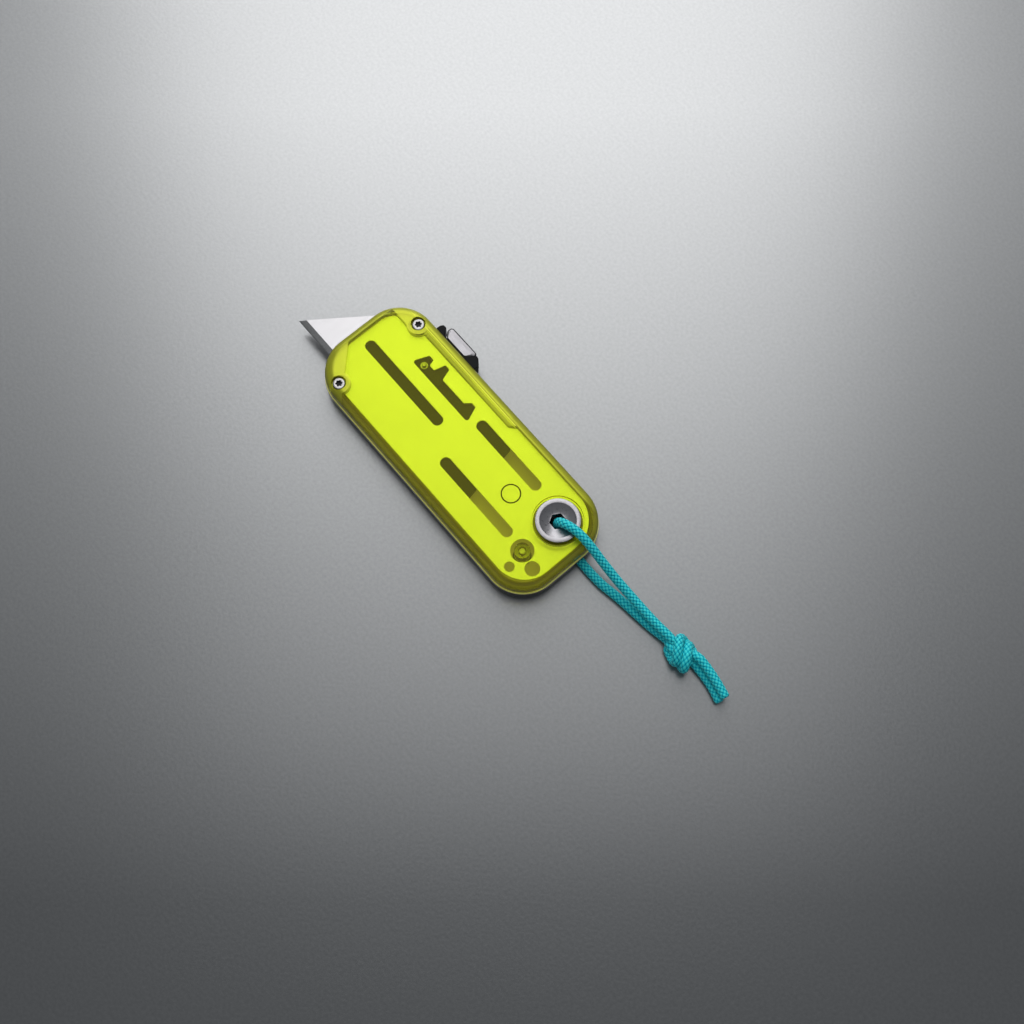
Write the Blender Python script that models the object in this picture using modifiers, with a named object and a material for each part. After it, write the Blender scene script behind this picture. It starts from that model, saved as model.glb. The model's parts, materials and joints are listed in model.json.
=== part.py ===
"""Pocket utility knife: a translucent two-part handle with a retracting trapezoid blade and a lanyard.

The handle lies on its back face. +X points to the blade tip, -Y to the slider button and +Z out of the
front face, with the origin at the middle of the back face. All sizes below are in millimetres.
"""

import math

import bmesh
import bpy
from mathutils import Vector

MM = 0.001

# Handle
BODY_FRONT_X = 40.9
BODY_REAR_X = -41.4
BODY_SLIDER_Y = -15.8
BODY_EDGE_Y = 16.2
BODY_THICKNESS = 9.2
PARTING_Z = 4.65
PARTING_GAP = 0.3
WALL = 1.5
EDGE_RADIUS = 2.6
CORNER_RADII = {"front_slider": 10.3, "front_edge": 10.7, "rear_edge": 10.0, "rear_slider": 10.9}
GAP = 0.3

# Blade: the common trapezoid size
BLADE_LENGTH = 61.0
BLADE_WIDTH = 19.0
BLADE_THICKNESS = 0.6
BLADE_BEVEL = 1.6
BLADE_END_RUN = 13.9
BLADE_TIP_X = 53.1
BLADE_EDGE_Y = 9.5
BLADE_NOTCH_RADIUS = 1.4
BLADE_NOTCH_SPACING = 9.5

# Moving pieces
BLADE_TRAVEL = 16.2
BUTTON_FRONT_X = 27.8
BUTTON_REAR_X = 12.9
BUTTON_LOW_Z = 2.3
BUTTON_HIGH_Z = 6.9
BUTTON_SIDE_Y = -16.1
BUTTON_TOP_Y = -17.9
PAD_TOP_Y = -18.9
PIN_X = 21.95
PIN_Y = -6.7
RIVET_PLACES = ((-4.5, -3.2), (-7.0, 2.0))
RIVET_RADIUS = 0.65

# Heights for cutters that start below or end above everything they cut
CLEAR_BELOW_Z = -1
CLEAR_ABOVE_Z = 12

# Layers between the two shells, as (low, high)
BACK_LINER_Z = (1.8, 2.3)
CARRIER_Z = (2.6, 4.0)
BLADE_Z = (PARTING_Z - BLADE_THICKNESS / 2, PARTING_Z + BLADE_THICKNESS / 2)
COVER_SHEET_Z = (5.2, 5.6)
COVER_Z = (5.5, 6.55)
ARM_Z = (5.85, 6.35)
FRONT_LINER_Z = (6.9, 7.4)
RAIL_Z = (2.6, 6.6)
LINER_FRONT_X = 38.6
LINER_REAR_X = -39.1
LINER_HALF_WIDTH = 13.5

# Fasteners
SCREW_PLACES = {"front_top": (30.95, -12.3), "front_bottom": (31.45, 13.05)}
SCREW_HEAD_Z = (7.9, 8.65)
SCREW_HEAD_RADIUS = 1.6
SCREW_SHANK_RADIUS = 0.95
SCREW_DRIVE_RADIUS = 0.8
SCREW_BOSS_RADIUS = 2.6
INSERT_RADII = (1.2, 1.65)
PIN_PLACE = (-31.2, 6.2)
PIN_POST_RADIUS = 2.0
PIN_HOLE_RADIUS = 1.0

# Lanyard eyelet
EYELET = (-31.4, -5.05)
EYELET_TOP_Z = 9.35
HEAD_RADIUS = 5.65
DISH_RADIUS = 4.35
DISH_FLOOR_Z = 8.0
BOLT_SHANK_RADIUS = 2.95
HEX_ACROSS_FLATS = 3.8
HEAD_RECESS_RADIUS = 6.35
HEAD_RECESS_FLOOR_Z = 8.3
BOLT_END_Z = 4.0
NUT_FLANGE_RADIUS = 4.8
BACK_RECESS_RADIUS = 5.3
BACK_RECESS_DEPTH = 3.65
EYELET_HOLE_RADIUS = 4.1
FRONT_BOSS_RADIUS = 4.8
BACK_BOSS_RADIUS = 6.1

# Lanyard: one cord through the eyelet, both ends tied in one overhand knot
CORD_DIAMETER = 2.4
CORD_GROOVE_WIDTH = 3.4
CORD_GROOVE_DEPTH = 2.8
CORD_GROOVE_ANGLE = -4.0
KNOT_PLACE = (-74.3, -6.9, 3.35)
KNOT_HALF_SIZE = (4.7, 3.4, 3.2)
KNOT_TURN = 148.0
UPPER_LEG = [
    (-31.4, -5.05, 6.4), (-31.45, -5.06, 7.3), (-31.85, -5.17, 8.5), (-32.6, -5.36, 9.5),
    (-33.8, -5.65, 10.4), (-35.3, -6.0, 10.85), (-37.0, -6.3, 10.9), (-39.2, -6.5, 10.6),
    (-42.0, -6.6, 9.7), (-46.0, -6.6, 8.0), (-51.0, -6.7, 6.0), (-56.5, -6.9, 4.6), (-61.1, -7.0, 4.0),
    (-65.4, -7.1, 3.9), (-69.6, -7.35, 3.9),
]
LOWER_LEG = [
    (-31.4, -5.05, 6.0), (-31.45, -5.05, 5.1), (-31.75, -5.0, 4.0), (-32.4, -4.95, 3.0),
    (-33.4, -4.85, 2.15), (-34.8, -4.7, 1.6), (-36.6, -4.5, 1.4), (-41.0, -4.1, 1.35), (-45.5, -4.0, 1.3),
    (-49.3, -4.2, 1.3), (-53.0, -4.8, 1.3), (-56.9, -5.3, 1.3), (-60.8, -5.7, 1.3), (-65.1, -6.2, 1.3),
    (-69.85, -6.6, 1.45),
]
UPPER_TAIL = [
    (-78.4, -9.3, 3.9), (-80.7, -9.2, 3.8), (-83.3, -8.9, 3.7), (-86.1, -8.4, 3.6), (-89.4, -7.7, 3.4),
]
LOWER_TAIL = [
    (-78.9, -8.1, 1.5), (-82.0, -7.9, 1.3), (-84.6, -7.6, 1.25), (-87.1, -7.0, 1.25), (-89.2, -6.4, 1.25),
]

# Colours (linear), roughness and metallic value of each material
MATERIALS = {
    "shell": ((0.68, 0.83, 0.05), 0.45, 0.0),
    "liner": ((0.72, 0.72, 0.70), 0.35, 1.0),
    "blade_steel": ((0.80, 0.81, 0.83), 0.25, 1.0),
    "black_plastic": ((0.012, 0.012, 0.013), 0.45, 0.0),
    "pad_metal": ((0.62, 0.61, 0.64), 0.30, 1.0),
    "screw_steel": ((0.70, 0.70, 0.72), 0.25, 1.0),
    "brass": ((0.62, 0.42, 0.16), 0.30, 1.0),
    "spring_steel": ((0.45, 0.45, 0.47), 0.30, 1.0),
    "cord": ((0.02, 0.30, 0.36), 0.75, 0.0),
}

ARC_STEPS = 7
ROUND_STEPS = 28
SMALL_ROUND_STEPS = 20


# ---------------------------------------------------------------- helpers


def clear_scene():
    for obj in list(bpy.data.objects):
        bpy.data.objects.remove(obj, do_unlink=True)


def make_collection(name):
    collection = bpy.data.collections.new(name)
    bpy.context.scene.collection.children.link(collection)
    return collection


def make_material(name):
    colour, roughness, metallic = MATERIALS[name]
    material = bpy.data.materials.new(name)
    material.use_nodes = True
    shader = material.node_tree.nodes["Principled BSDF"]
    shader.inputs["Base Color"].default_value = (*colour, 1.0)
    shader.inputs["Roughness"].default_value = roughness
    shader.inputs["Metallic"].default_value = metallic
    material.diffuse_color = (*colour, 1.0)
    return material


def add_object(name, data, collection, material=None):
    obj = bpy.data.objects.new(name, data)
    collection.objects.link(obj)
    if material:
        data.materials.append(bpy.data.materials[material])
    if collection is cutters:
        obj.hide_render = True
        obj.display_type = "WIRE"
    return obj


def rounded_outline(corners, steps=ARC_STEPS):
    """The points of a closed polygon whose corners, given as (x, y, radius), are rounded by arcs."""
    points = []
    for index, (x, y, radius) in enumerate(corners):
        corner = Vector((x, y))
        before = (Vector(corners[index - 1][:2]) - corner).normalized()
        after = (Vector(corners[(index + 1) % len(corners)][:2]) - corner).normalized()
        if radius == 0:
            points.append(corner)
            continue
        half_angle = before.angle(after) / 2
        centre = corner + (before + after).normalized() * radius / math.sin(half_angle)
        first = corner + before * radius / math.tan(half_angle) - centre
        last = corner + after * radius / math.tan(half_angle) - centre
        sweep = first.angle_signed(last)
        for step in range(steps + 1):
            turned_by = -sweep * step / steps
            cos, sin = math.cos(turned_by), math.sin(turned_by)
            spoke = Vector((first.x * cos - first.y * sin, first.x * sin + first.y * cos))
            points.append(centre + spoke)
    return points


def slot_outline(x_low, x_high, y_low, y_high, radius, steps=5):
    corners = [(x_low, y_low), (x_high, y_low), (x_high, y_high), (x_low, y_high)]
    return rounded_outline([(x, y, radius) for x, y in corners], steps)


def circle_outline(centre, radius, count=SMALL_ROUND_STEPS):
    angles = [2 * math.pi * index / count for index in range(count)]
    return [Vector((centre[0] + radius * math.cos(a), centre[1] + radius * math.sin(a))) for a in angles]


def flat_curve(name, outlines, z_range, collection, material=None):
    """A plate: a filled 2D curve through the outlines, the later ones being holes in the first."""
    low, high = z_range
    curve = bpy.data.curves.new(name, "CURVE")
    curve.dimensions = "2D"
    curve.fill_mode = "BOTH"
    curve.extrude = (high - low) / 2 * MM
    for outline in outlines:
        spline = curve.splines.new("POLY")
        spline.points.add(len(outline) - 1)
        for point, (x, y) in zip(spline.points, outline):
            point.co = (x * MM, y * MM, 0, 1)
        spline.use_cyclic_u = True
    obj = add_object(name, curve, collection, material)
    obj.location.z = (low + high) / 2 * MM
    return obj


def to_mesh(obj, collection):
    """Replace a curve object by a welded mesh object of the same name, place and material."""
    bpy.context.view_layer.update()
    graph = bpy.context.evaluated_depsgraph_get()
    mesh = bpy.data.meshes.new_from_object(obj.evaluated_get(graph))
    name, matrix = obj.name, obj.matrix_world.copy()
    bpy.data.objects.remove(obj, do_unlink=True)
    solid = bmesh.new()
    solid.from_mesh(mesh)
    bmesh.ops.remove_doubles(solid, verts=solid.verts, dist=1e-6)
    bmesh.ops.dissolve_limit(solid, angle_limit=math.radians(1), verts=solid.verts, edges=solid.edges)
    solid.to_mesh(mesh)
    solid.free()
    result = add_object(name, mesh, collection)
    result.matrix_world = matrix
    return result


def plate(name, outlines, z_range, collection, material=None):
    return to_mesh(flat_curve(name, outlines, z_range, collection, material), collection)


def turned(name, profile, centre, collection, material=None, steps=ROUND_STEPS):
    """A turned piece: the profile's (radius, z) points run down its outer side and are spun round Z."""
    mesh = bpy.data.meshes.new(name)
    vertices = [(radius * MM, 0, z * MM) for radius, z in profile]
    closed = profile[0][0] > 0
    edges = [(index, index + 1) for index in range(len(profile) - 1)]
    if closed:
        edges.append((len(profile) - 1, 0))
    mesh.from_pydata(vertices, edges, [])
    obj = add_object(name, mesh, collection, material)
    obj.location = (centre[0] * MM, centre[1] * MM, 0)
    screw = obj.modifiers.new("Screw", "SCREW")
    screw.steps = steps
    screw.render_steps = steps
    screw.use_merge_vertices = True
    screw.merge_threshold = 1e-6
    return obj


def cylinder(name, centre, radius, z_range, collection, steps=ROUND_STEPS):
    low, high = z_range
    profile = [(0, high), (radius, high), (radius, low), (0, low)]
    return turned(name, profile, centre, collection, steps=steps)


def block(name, low, high, collection, material=None):
    """A box between two opposite corners, its origin at its middle."""
    mesh = bpy.data.meshes.new(name)
    cube = bmesh.new()
    bmesh.ops.create_cube(cube, size=1)
    size = [(b - a) * MM for a, b in zip(low, high)]
    bmesh.ops.scale(cube, vec=size, verts=cube.verts)
    cube.to_mesh(mesh)
    cube.free()
    obj = add_object(name, mesh, collection, material)
    obj.location = [(a + b) / 2 * MM for a, b in zip(low, high)]
    return obj


def combine(target, operand, operation):
    boolean = target.modifiers.new(operation.title() + " " + operand.name, "BOOLEAN")
    boolean.operation = operation
    boolean.object = operand


def add_post(target, label, centre, radius, z_range):
    post = cylinder(f"{target.name}_{label}", centre, radius, z_range, cutters)
    combine(target, post, "UNION")


def drill(target, label, centre, radius, z_range=(CLEAR_BELOW_Z, CLEAR_ABOVE_Z), steps=SMALL_ROUND_STEPS):
    hole = cylinder(f"{target.name}_{label}", centre, radius, z_range, cutters, steps)
    combine(target, hole, "DIFFERENCE")


def bevel_rim(obj, z, radius, segments):
    """Round the edges of a mesh that lie at height z in the object's own space."""
    mesh = obj.data
    weights = mesh.attributes.new("bevel_weight_edge", "FLOAT", "EDGE")
    for edge in mesh.edges:
        heights = [mesh.vertices[vertex].co.z for vertex in edge.vertices]
        weights.data[edge.index].value = float(all(abs(height - z) < 1e-6 for height in heights))
    bevel = obj.modifiers.new("Bevel", "BEVEL")
    bevel.limit_method = "WEIGHT"
    bevel.width = radius * MM
    bevel.segments = segments
    bevel.use_clamp_overlap = False


def smooth_route(points, spacing):
    """Points about evenly spaced on a Catmull-Rom curve through the route's own points."""
    route = [Vector(point) for point in points]
    route = [2 * route[0] - route[1], *route, 2 * route[-1] - route[-2]]
    dense = []
    for p0, p1, p2, p3 in zip(route, route[1:], route[2:], route[3:]):
        for step in range(12):
            t = step / 12
            square = (2 * p0 - 5 * p1 + 4 * p2 - p3) * t**2
            cube = (3 * p1 - p0 - 3 * p2 + p3) * t**3
            dense.append(0.5 * (2 * p1 + (p2 - p0) * t + square + cube))
    dense.append(route[-2])
    lengths = [0.0]
    for a, b in zip(dense, dense[1:]):
        lengths.append(lengths[-1] + (b - a).length)
    count = max(4, round(lengths[-1] / spacing) + 1)
    result = []
    for index in range(count):
        target = lengths[-1] * index / (count - 1)
        upper = next(i for i, length in enumerate(lengths) if length >= target - 1e-9 and i > 0)
        share = (target - lengths[upper - 1]) / (lengths[upper] - lengths[upper - 1])
        result.append(dense[upper - 1].lerp(dense[upper], share))
    return result


def tube(name, points, diameter, collection, material):
    curve = bpy.data.curves.new(name, "CURVE")
    curve.dimensions = "3D"
    curve.bevel_depth = diameter / 2 * MM
    curve.bevel_resolution = 2
    curve.use_fill_caps = True
    spline = curve.splines.new("POLY")
    spline.points.add(len(points) - 1)
    for point, place in zip(spline.points, points):
        point.co = (*(place * MM), 1)
    return add_object(name, curve, collection, material)


# ---------------------------------------------------------------- handle


def body_corners(inset):
    front_x, rear_x = BODY_FRONT_X - inset, BODY_REAR_X + inset
    slider_y, edge_y = BODY_SLIDER_Y + inset, BODY_EDGE_Y - inset
    return [
        (front_x, slider_y, CORNER_RADII["front_slider"] - inset),
        (front_x, edge_y, CORNER_RADII["front_edge"] - inset),
        (rear_x, edge_y, CORNER_RADII["rear_edge"] - inset),
        (rear_x, slider_y, CORNER_RADII["rear_slider"] - inset),
    ]


def open_shell(name, z_range, face_up):
    """A tray with a rounded rim round its face, open at the parting plane."""
    shell = plate(name, [rounded_outline(body_corners(0))], z_range, parts, "shell")
    half = (z_range[1] - z_range[0]) / 2 * MM
    face_z = half if face_up else -half
    tray = bmesh.new()
    tray.from_mesh(shell.data)
    parting_face = [f for f in tray.faces if abs(f.calc_center_median().z + face_z) < 1e-6]
    bmesh.ops.delete(tray, geom=parting_face, context="FACES")
    tray.to_mesh(shell.data)
    tray.free()
    bevel_rim(shell, face_z, EDGE_RADIUS, 4)
    thickness = shell.modifiers.new("Solidify", "SOLIDIFY")
    thickness.thickness = WALL * MM
    thickness.offset = -1
    thickness.use_even_offset = True
    return shell


def button_slot_cutter():
    """The slot in the slider side of both shells, long enough for the button's whole travel."""
    low = (BUTTON_REAR_X - BLADE_TRAVEL - GAP, BODY_SLIDER_Y - 1, BUTTON_LOW_Z - GAP)
    high = (BUTTON_FRONT_X + GAP, BODY_SLIDER_Y + WALL + 0.6, BUTTON_HIGH_Z + GAP)
    return block("button_slot", low, high, cutters)


def blade_mouth_cutter():
    low = (34.0, BLADE_EDGE_Y - BLADE_WIDTH - 0.4, BLADE_Z[0] - 0.35)
    high = (BODY_FRONT_X + 1, BLADE_EDGE_Y + 0.4, BLADE_Z[1] + 0.35)
    return block("blade_mouth", low, high, cutters)


def groove_box(name, width, z_range, x_range):
    """A box along the cord's way from the eyelet to the rear edge."""
    half_length = (x_range[1] - x_range[0]) / 2
    box = block(name, (-half_length, -width / 2, z_range[0]), (half_length, width / 2, z_range[1]), cutters)
    middle = sum(x_range) / 2
    slope = math.radians(CORD_GROOVE_ANGLE)
    box.location.x = middle * MM
    box.location.y = (EYELET[1] + math.tan(slope) * (middle - EYELET[0])) * MM
    box.rotation_euler.z = slope
    return box


def front_shell():
    base_z = PARTING_Z + PARTING_GAP / 2
    shell = open_shell("front_shell", (base_z, BODY_THICKNESS), face_up=True)
    post_z = (base_z, BODY_THICKNESS - WALL + 0.1)
    for label, place in SCREW_PLACES.items():
        add_post(shell, "boss_" + label, place, SCREW_BOSS_RADIUS, post_z)
    add_post(shell, "pin_post", PIN_PLACE, PIN_POST_RADIUS, post_z)
    add_post(shell, "eyelet_boss", EYELET, FRONT_BOSS_RADIUS, post_z)
    for label, place in SCREW_PLACES.items():
        combine(shell, screw_hole("screw_hole_" + label, place), "DIFFERENCE")
    drill(shell, "pin_hole", PIN_PLACE, PIN_HOLE_RADIUS, (base_z - 1, 7.4))
    floor_z = HEAD_RECESS_FLOOR_Z
    profile = [(0, CLEAR_ABOVE_Z), (HEAD_RECESS_RADIUS, CLEAR_ABOVE_Z), (HEAD_RECESS_RADIUS, floor_z)]
    profile += [(EYELET_HOLE_RADIUS, floor_z), (EYELET_HOLE_RADIUS, base_z - 1), (0, base_z - 1)]
    combine(shell, turned("head_recess", profile, EYELET, cutters, steps=40), "DIFFERENCE")
    return shell


def screw_hole(name, place):
    """A counterbore for the screw's head above a clearance hole for its shank."""
    head, shank = SCREW_HEAD_RADIUS + GAP, SCREW_SHANK_RADIUS + GAP
    floor_z = SCREW_HEAD_Z[0] - GAP
    profile = [(0, CLEAR_ABOVE_Z), (head, CLEAR_ABOVE_Z), (head, floor_z), (shank, floor_z)]
    profile += [(shank, CLEAR_BELOW_Z), (0, CLEAR_BELOW_Z)]
    return turned(name, profile, place, cutters, steps=SMALL_ROUND_STEPS)


def back_shell():
    top_z = PARTING_Z - PARTING_GAP / 2
    shell = open_shell("back_shell", (0, top_z), face_up=False)
    post_z = (WALL - 0.5, top_z)
    for label, place in SCREW_PLACES.items():
        add_post(shell, "boss_" + label, place, SCREW_BOSS_RADIUS, post_z)
    add_post(shell, "pin_post", PIN_PLACE, PIN_POST_RADIUS, post_z)
    add_post(shell, "eyelet_boss", EYELET, BACK_BOSS_RADIUS, post_z)
    roof = groove_box("groove_roof", CORD_GROOVE_WIDTH + 2, (WALL - 0.5, BACK_RECESS_DEPTH), (-40.6, -35.5))
    combine(shell, roof, "UNION")
    for label, place in SCREW_PLACES.items():
        drill(shell, "insert_hole_" + label, place, INSERT_RADII[1] + GAP, (1.6, 6))
    drill(shell, "pin_hole", PIN_PLACE, PIN_HOLE_RADIUS, (1.0, 6))
    profile = [(0, 6), (EYELET_HOLE_RADIUS, 6), (EYELET_HOLE_RADIUS, BACK_RECESS_DEPTH)]
    profile += [(BACK_RECESS_RADIUS, BACK_RECESS_DEPTH), (BACK_RECESS_RADIUS, CLEAR_BELOW_Z)]
    profile += [(0, CLEAR_BELOW_Z)]
    combine(shell, turned("nut_recess", profile, EYELET, cutters, steps=40), "DIFFERENCE")
    groove_z = (CLEAR_BELOW_Z, CORD_GROOVE_DEPTH)
    groove = groove_box("cord_groove", CORD_GROOVE_WIDTH, groove_z, (-45.0, EYELET[0]))
    combine(shell, groove, "DIFFERENCE")
    return shell


def liner_outline():
    """The liners' outline: the handle's face with its front corners cut off and a bay for the button."""
    front_x, rear_x, y = LINER_FRONT_X, LINER_REAR_X, LINER_HALF_WIDTH
    bay_y = -11.8
    return rounded_outline([
        (front_x, -7.0, 1.5), (37.2, -9.9, 1.5), (31.4, -9.9, 0), (31.4, bay_y, 0), (-4.9, bay_y, 1.2),
        (-6.6, -y, 1.0), (rear_x, -y, CORNER_RADII["rear_slider"] - WALL),
        (rear_x, y, CORNER_RADII["rear_edge"] - WALL), (29.0, y, 0), (33.2, 9.9, 0),
        (front_x, 4.5, 2.5),
    ])


def cut_round_screws(liner):
    for label, place in SCREW_PLACES.items():
        drill(liner, "clear_" + label, place, SCREW_BOSS_RADIUS + 0.35)


def detent_window():
    """The track that the detent pin slides along, with a notch for each of its three stations."""
    return rounded_outline([
        (24.7, -5.0, 0.7), (22.9, -9.3, 0.4), (21.3, -9.3, 0.4), (20.8, -7.6, 0.4), (19.1, -7.6, 0.4),
        (18.3, -10.7, 0.5), (16.7, -10.7, 0.5), (15.7, -7.6, 0.4), (7.4, -7.6, 0.5), (6.1, -9.2, 0.5),
        (4.7, -9.2, 0.5), (2.9, -5.0, 0.7),
    ], 3)


def front_liner():
    holes = [
        slot_outline(6.8, 36.1, -1.2, 1.8, 1.45),
        slot_outline(-22.0, 1.2, -8.7, -5.7, 1.45),
        slot_outline(-26.5, -0.4, 4.4, 7.4, 1.45),
        detent_window(),
        circle_outline(PIN_PLACE, 2.95),
        circle_outline((-36.2, 7.3), 1.9),
        circle_outline((-32.2, 11.2), 1.3),
        circle_outline(EYELET, HEAD_RECESS_RADIUS - 0.9, 32),
    ]
    liner = plate("front_liner", [liner_outline(), *holes], FRONT_LINER_Z, parts, "liner")
    cut_round_screws(liner)
    return liner


def back_liner():
    holes = [circle_outline(PIN_PLACE, 2.4), circle_outline(EYELET, BACK_BOSS_RADIUS + GAP, 32)]
    liner = plate("back_liner", [liner_outline(), *holes], BACK_LINER_Z, parts, "liner")
    cut_round_screws(liner)
    groove = groove_box("liner_groove", CORD_GROOVE_WIDTH + 2.6, (-1, 4), (-45, EYELET[0] - 4))
    combine(liner, groove, "DIFFERENCE")
    return liner


def guide_rails():
    """Two strips between the liners that keep the blade carrier straight."""
    lower = slot_outline(-26.0, 28.7, 9.85, 12.6, 1.0)
    upper = slot_outline(-22.5, -4.7, -12.6, -9.9, 1.0)
    flat_curve("lower_guide_rail", [lower], RAIL_Z, parts, "black_plastic")
    flat_curve("upper_guide_rail", [upper], RAIL_Z, parts, "black_plastic")


# ---------------------------------------------------------------- fasteners


def screw(label, place):
    head_low, head_top = SCREW_HEAD_Z
    tip, chamfer, drive_depth = 2.3, 0.2, 0.6
    head, shank = SCREW_HEAD_RADIUS, SCREW_SHANK_RADIUS
    profile = [(0, head_top), (head - chamfer, head_top), (head, head_top - chamfer), (head, head_low)]
    profile += [(shank, head_low), (shank, tip), (0, tip)]
    piece = turned("screw_" + label, profile, place, parts, "screw_steel", SMALL_ROUND_STEPS)
    drill(piece, "drive", place, SCREW_DRIVE_RADIUS, (head_top - drive_depth, CLEAR_ABOVE_Z), 6)


def threaded_insert(label, place):
    inner, outer = INSERT_RADII
    profile = [(inner, 4.2), (outer, 4.2), (outer, 1.9), (inner, 1.9)]
    turned("insert_" + label, profile, place, parts, "brass", SMALL_ROUND_STEPS)


def eyelet_bolt():
    """The dished head and hollow shank whose hexagonal socket runs right through for the cord."""
    top, shank = EYELET_TOP_Z, BOLT_SHANK_RADIUS
    profile = [
        (0, DISH_FLOOR_Z), (2.3, DISH_FLOOR_Z), (3.3, 8.5), (DISH_RADIUS, top - 0.15),
        (DISH_RADIUS + 0.15, top), (HEAD_RADIUS - 0.2, top), (HEAD_RADIUS, top - 0.2),
        (HEAD_RADIUS, HEAD_RECESS_FLOOR_Z + GAP), (3.9, HEAD_RECESS_FLOOR_Z + GAP), (shank, 7.6),
        (shank, BOLT_END_Z), (0, BOLT_END_Z),
    ]
    bolt = turned("eyelet_bolt", profile, EYELET, parts, "screw_steel", 40)
    socket_radius = HEX_ACROSS_FLATS / 2 / math.cos(math.radians(30))
    drill(bolt, "socket", EYELET, socket_radius, steps=6)


def eyelet_nut():
    inner = BOLT_SHANK_RADIUS + GAP
    sleeve = EYELET_HOLE_RADIUS - 0.25
    mouth = inner + 0.8
    profile = [
        (inner, 7.1), (sleeve, 7.1), (sleeve, 3.45), (NUT_FLANGE_RADIUS, 3.45), (NUT_FLANGE_RADIUS, 2.85),
        (mouth, 2.85), (inner, 3.65),
    ]
    turned("eyelet_nut", profile, EYELET, parts, "screw_steel", 40)


def locating_pin():
    profile = [(0, 7.1), (0.7, 7.1), (0.7, 1.3), (0, 1.3)]
    turned("locating_pin", profile, PIN_PLACE, parts, "screw_steel", SMALL_ROUND_STEPS)


# ---------------------------------------------------------------- blade and carrier


def blade_outline():
    """A trapezoid with two half-round notches in its back."""
    back_y = BLADE_EDGE_Y - BLADE_WIDTH
    rear_x = BLADE_TIP_X - BLADE_LENGTH
    ends = [(BLADE_TIP_X, BLADE_EDGE_Y), (rear_x, BLADE_EDGE_Y), (rear_x + BLADE_END_RUN, back_y)]
    points = [Vector(end) for end in ends]
    for notch_x in notch_places():
        for step in range(7):
            angle = math.pi * (1 - step / 6)
            offset = Vector((math.cos(angle), math.sin(angle))) * BLADE_NOTCH_RADIUS
            points.append(Vector((notch_x, back_y)) + offset)
    points.append(Vector((BLADE_TIP_X - BLADE_END_RUN, back_y)))
    return points


def notch_places():
    middle = BLADE_TIP_X - BLADE_LENGTH / 2
    return (middle - BLADE_NOTCH_SPACING / 2, middle + BLADE_NOTCH_SPACING / 2)


def blade():
    """The wedge section of the ground edge, drawn along X, trimmed to the trapezoid."""
    low, high = BLADE_Z
    mid = (low + high) / 2
    bevel_y, past_back_y = BLADE_EDGE_Y - BLADE_BEVEL, BLADE_EDGE_Y - BLADE_WIDTH - 1
    section = [
        (past_back_y, low), (bevel_y, low), (BLADE_EDGE_Y, mid - 0.03),
        (BLADE_EDGE_Y, mid + 0.03), (bevel_y, high), (past_back_y, high),
    ]
    rear_x = BLADE_TIP_X - BLADE_LENGTH
    strip = plate("blade", [section], (rear_x - 1, BLADE_TIP_X + 1), parts, "blade_steel")
    strip.location = ((rear_x + BLADE_TIP_X) / 2 * MM, 0, 0)
    strip.rotation_euler = (math.radians(90), 0, math.radians(90))
    trapezoid = plate("blade_trapezoid", [blade_outline()], (low - 1, high + 1), cutters)
    combine(strip, trapezoid, "INTERSECT")
    return strip


def blade_carrier():
    """The tray under the blade, with a tongue towards the button and two pegs in the blade's notches."""
    outline = rounded_outline([
        (28.4, -11.2, 0.8), (28.4, 8.6, 2.0), (-8.0, 8.6, 2.0), (-8.0, -9.4, 1.5), (11.5, -9.4, 0.5),
        (12.0, -11.2, 0.8),
    ], 4)
    tray = plate("blade_carrier", [outline], CARRIER_Z, parts, "black_plastic")
    peg_y = BLADE_EDGE_Y - BLADE_WIDTH + BLADE_NOTCH_RADIUS - 0.3 - 0.9
    for index, peg_x in enumerate(notch_places()):
        add_post(tray, f"peg_{index}", (peg_x, peg_y), 0.9, (CARRIER_Z[0] + 0.5, 5.0))
    for index, place in enumerate(RIVET_PLACES):
        drill(tray, f"rivet_hole_{index}", place, RIVET_RADIUS + 0.25)
    return tray


def carrier_cover():
    """A sheet over the whole blade, thicker where the detent arm doesn't pass over it."""
    sheet = rounded_outline([
        (36.2, -9.0, 1.5), (36.2, 8.4, 1.5), (-12.4, 8.4, 1.5), (-9.1, -9.2, 1.0), (34.0, -9.2, 1.0),
    ], 4)
    outline = rounded_outline([
        (24.0, -4.3, 0.8), (23.6, 8.4, 1.5), (-12.4, 8.4, 1.5), (-9.1, -9.2, 1.0), (12.6, -9.2, 0.8),
        (12.6, -4.3, 0.5),
    ], 4)
    cover = plate("carrier_cover", [outline], COVER_Z, parts, "black_plastic")
    combine(cover, plate("cover_sheet", [sheet], COVER_SHEET_Z, cutters), "UNION")
    for index, place in enumerate(RIVET_PLACES):
        drill(cover, f"rivet_hole_{index}", place, RIVET_RADIUS + 0.25)
    return cover


def carrier_rivet(label, place):
    profile = [(0, 6.4), (RIVET_RADIUS, 6.4), (RIVET_RADIUS, 2.75), (0, 2.75)]
    return turned("carrier_rivet_" + label, profile, place, parts, "screw_steel", SMALL_ROUND_STEPS)


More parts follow.
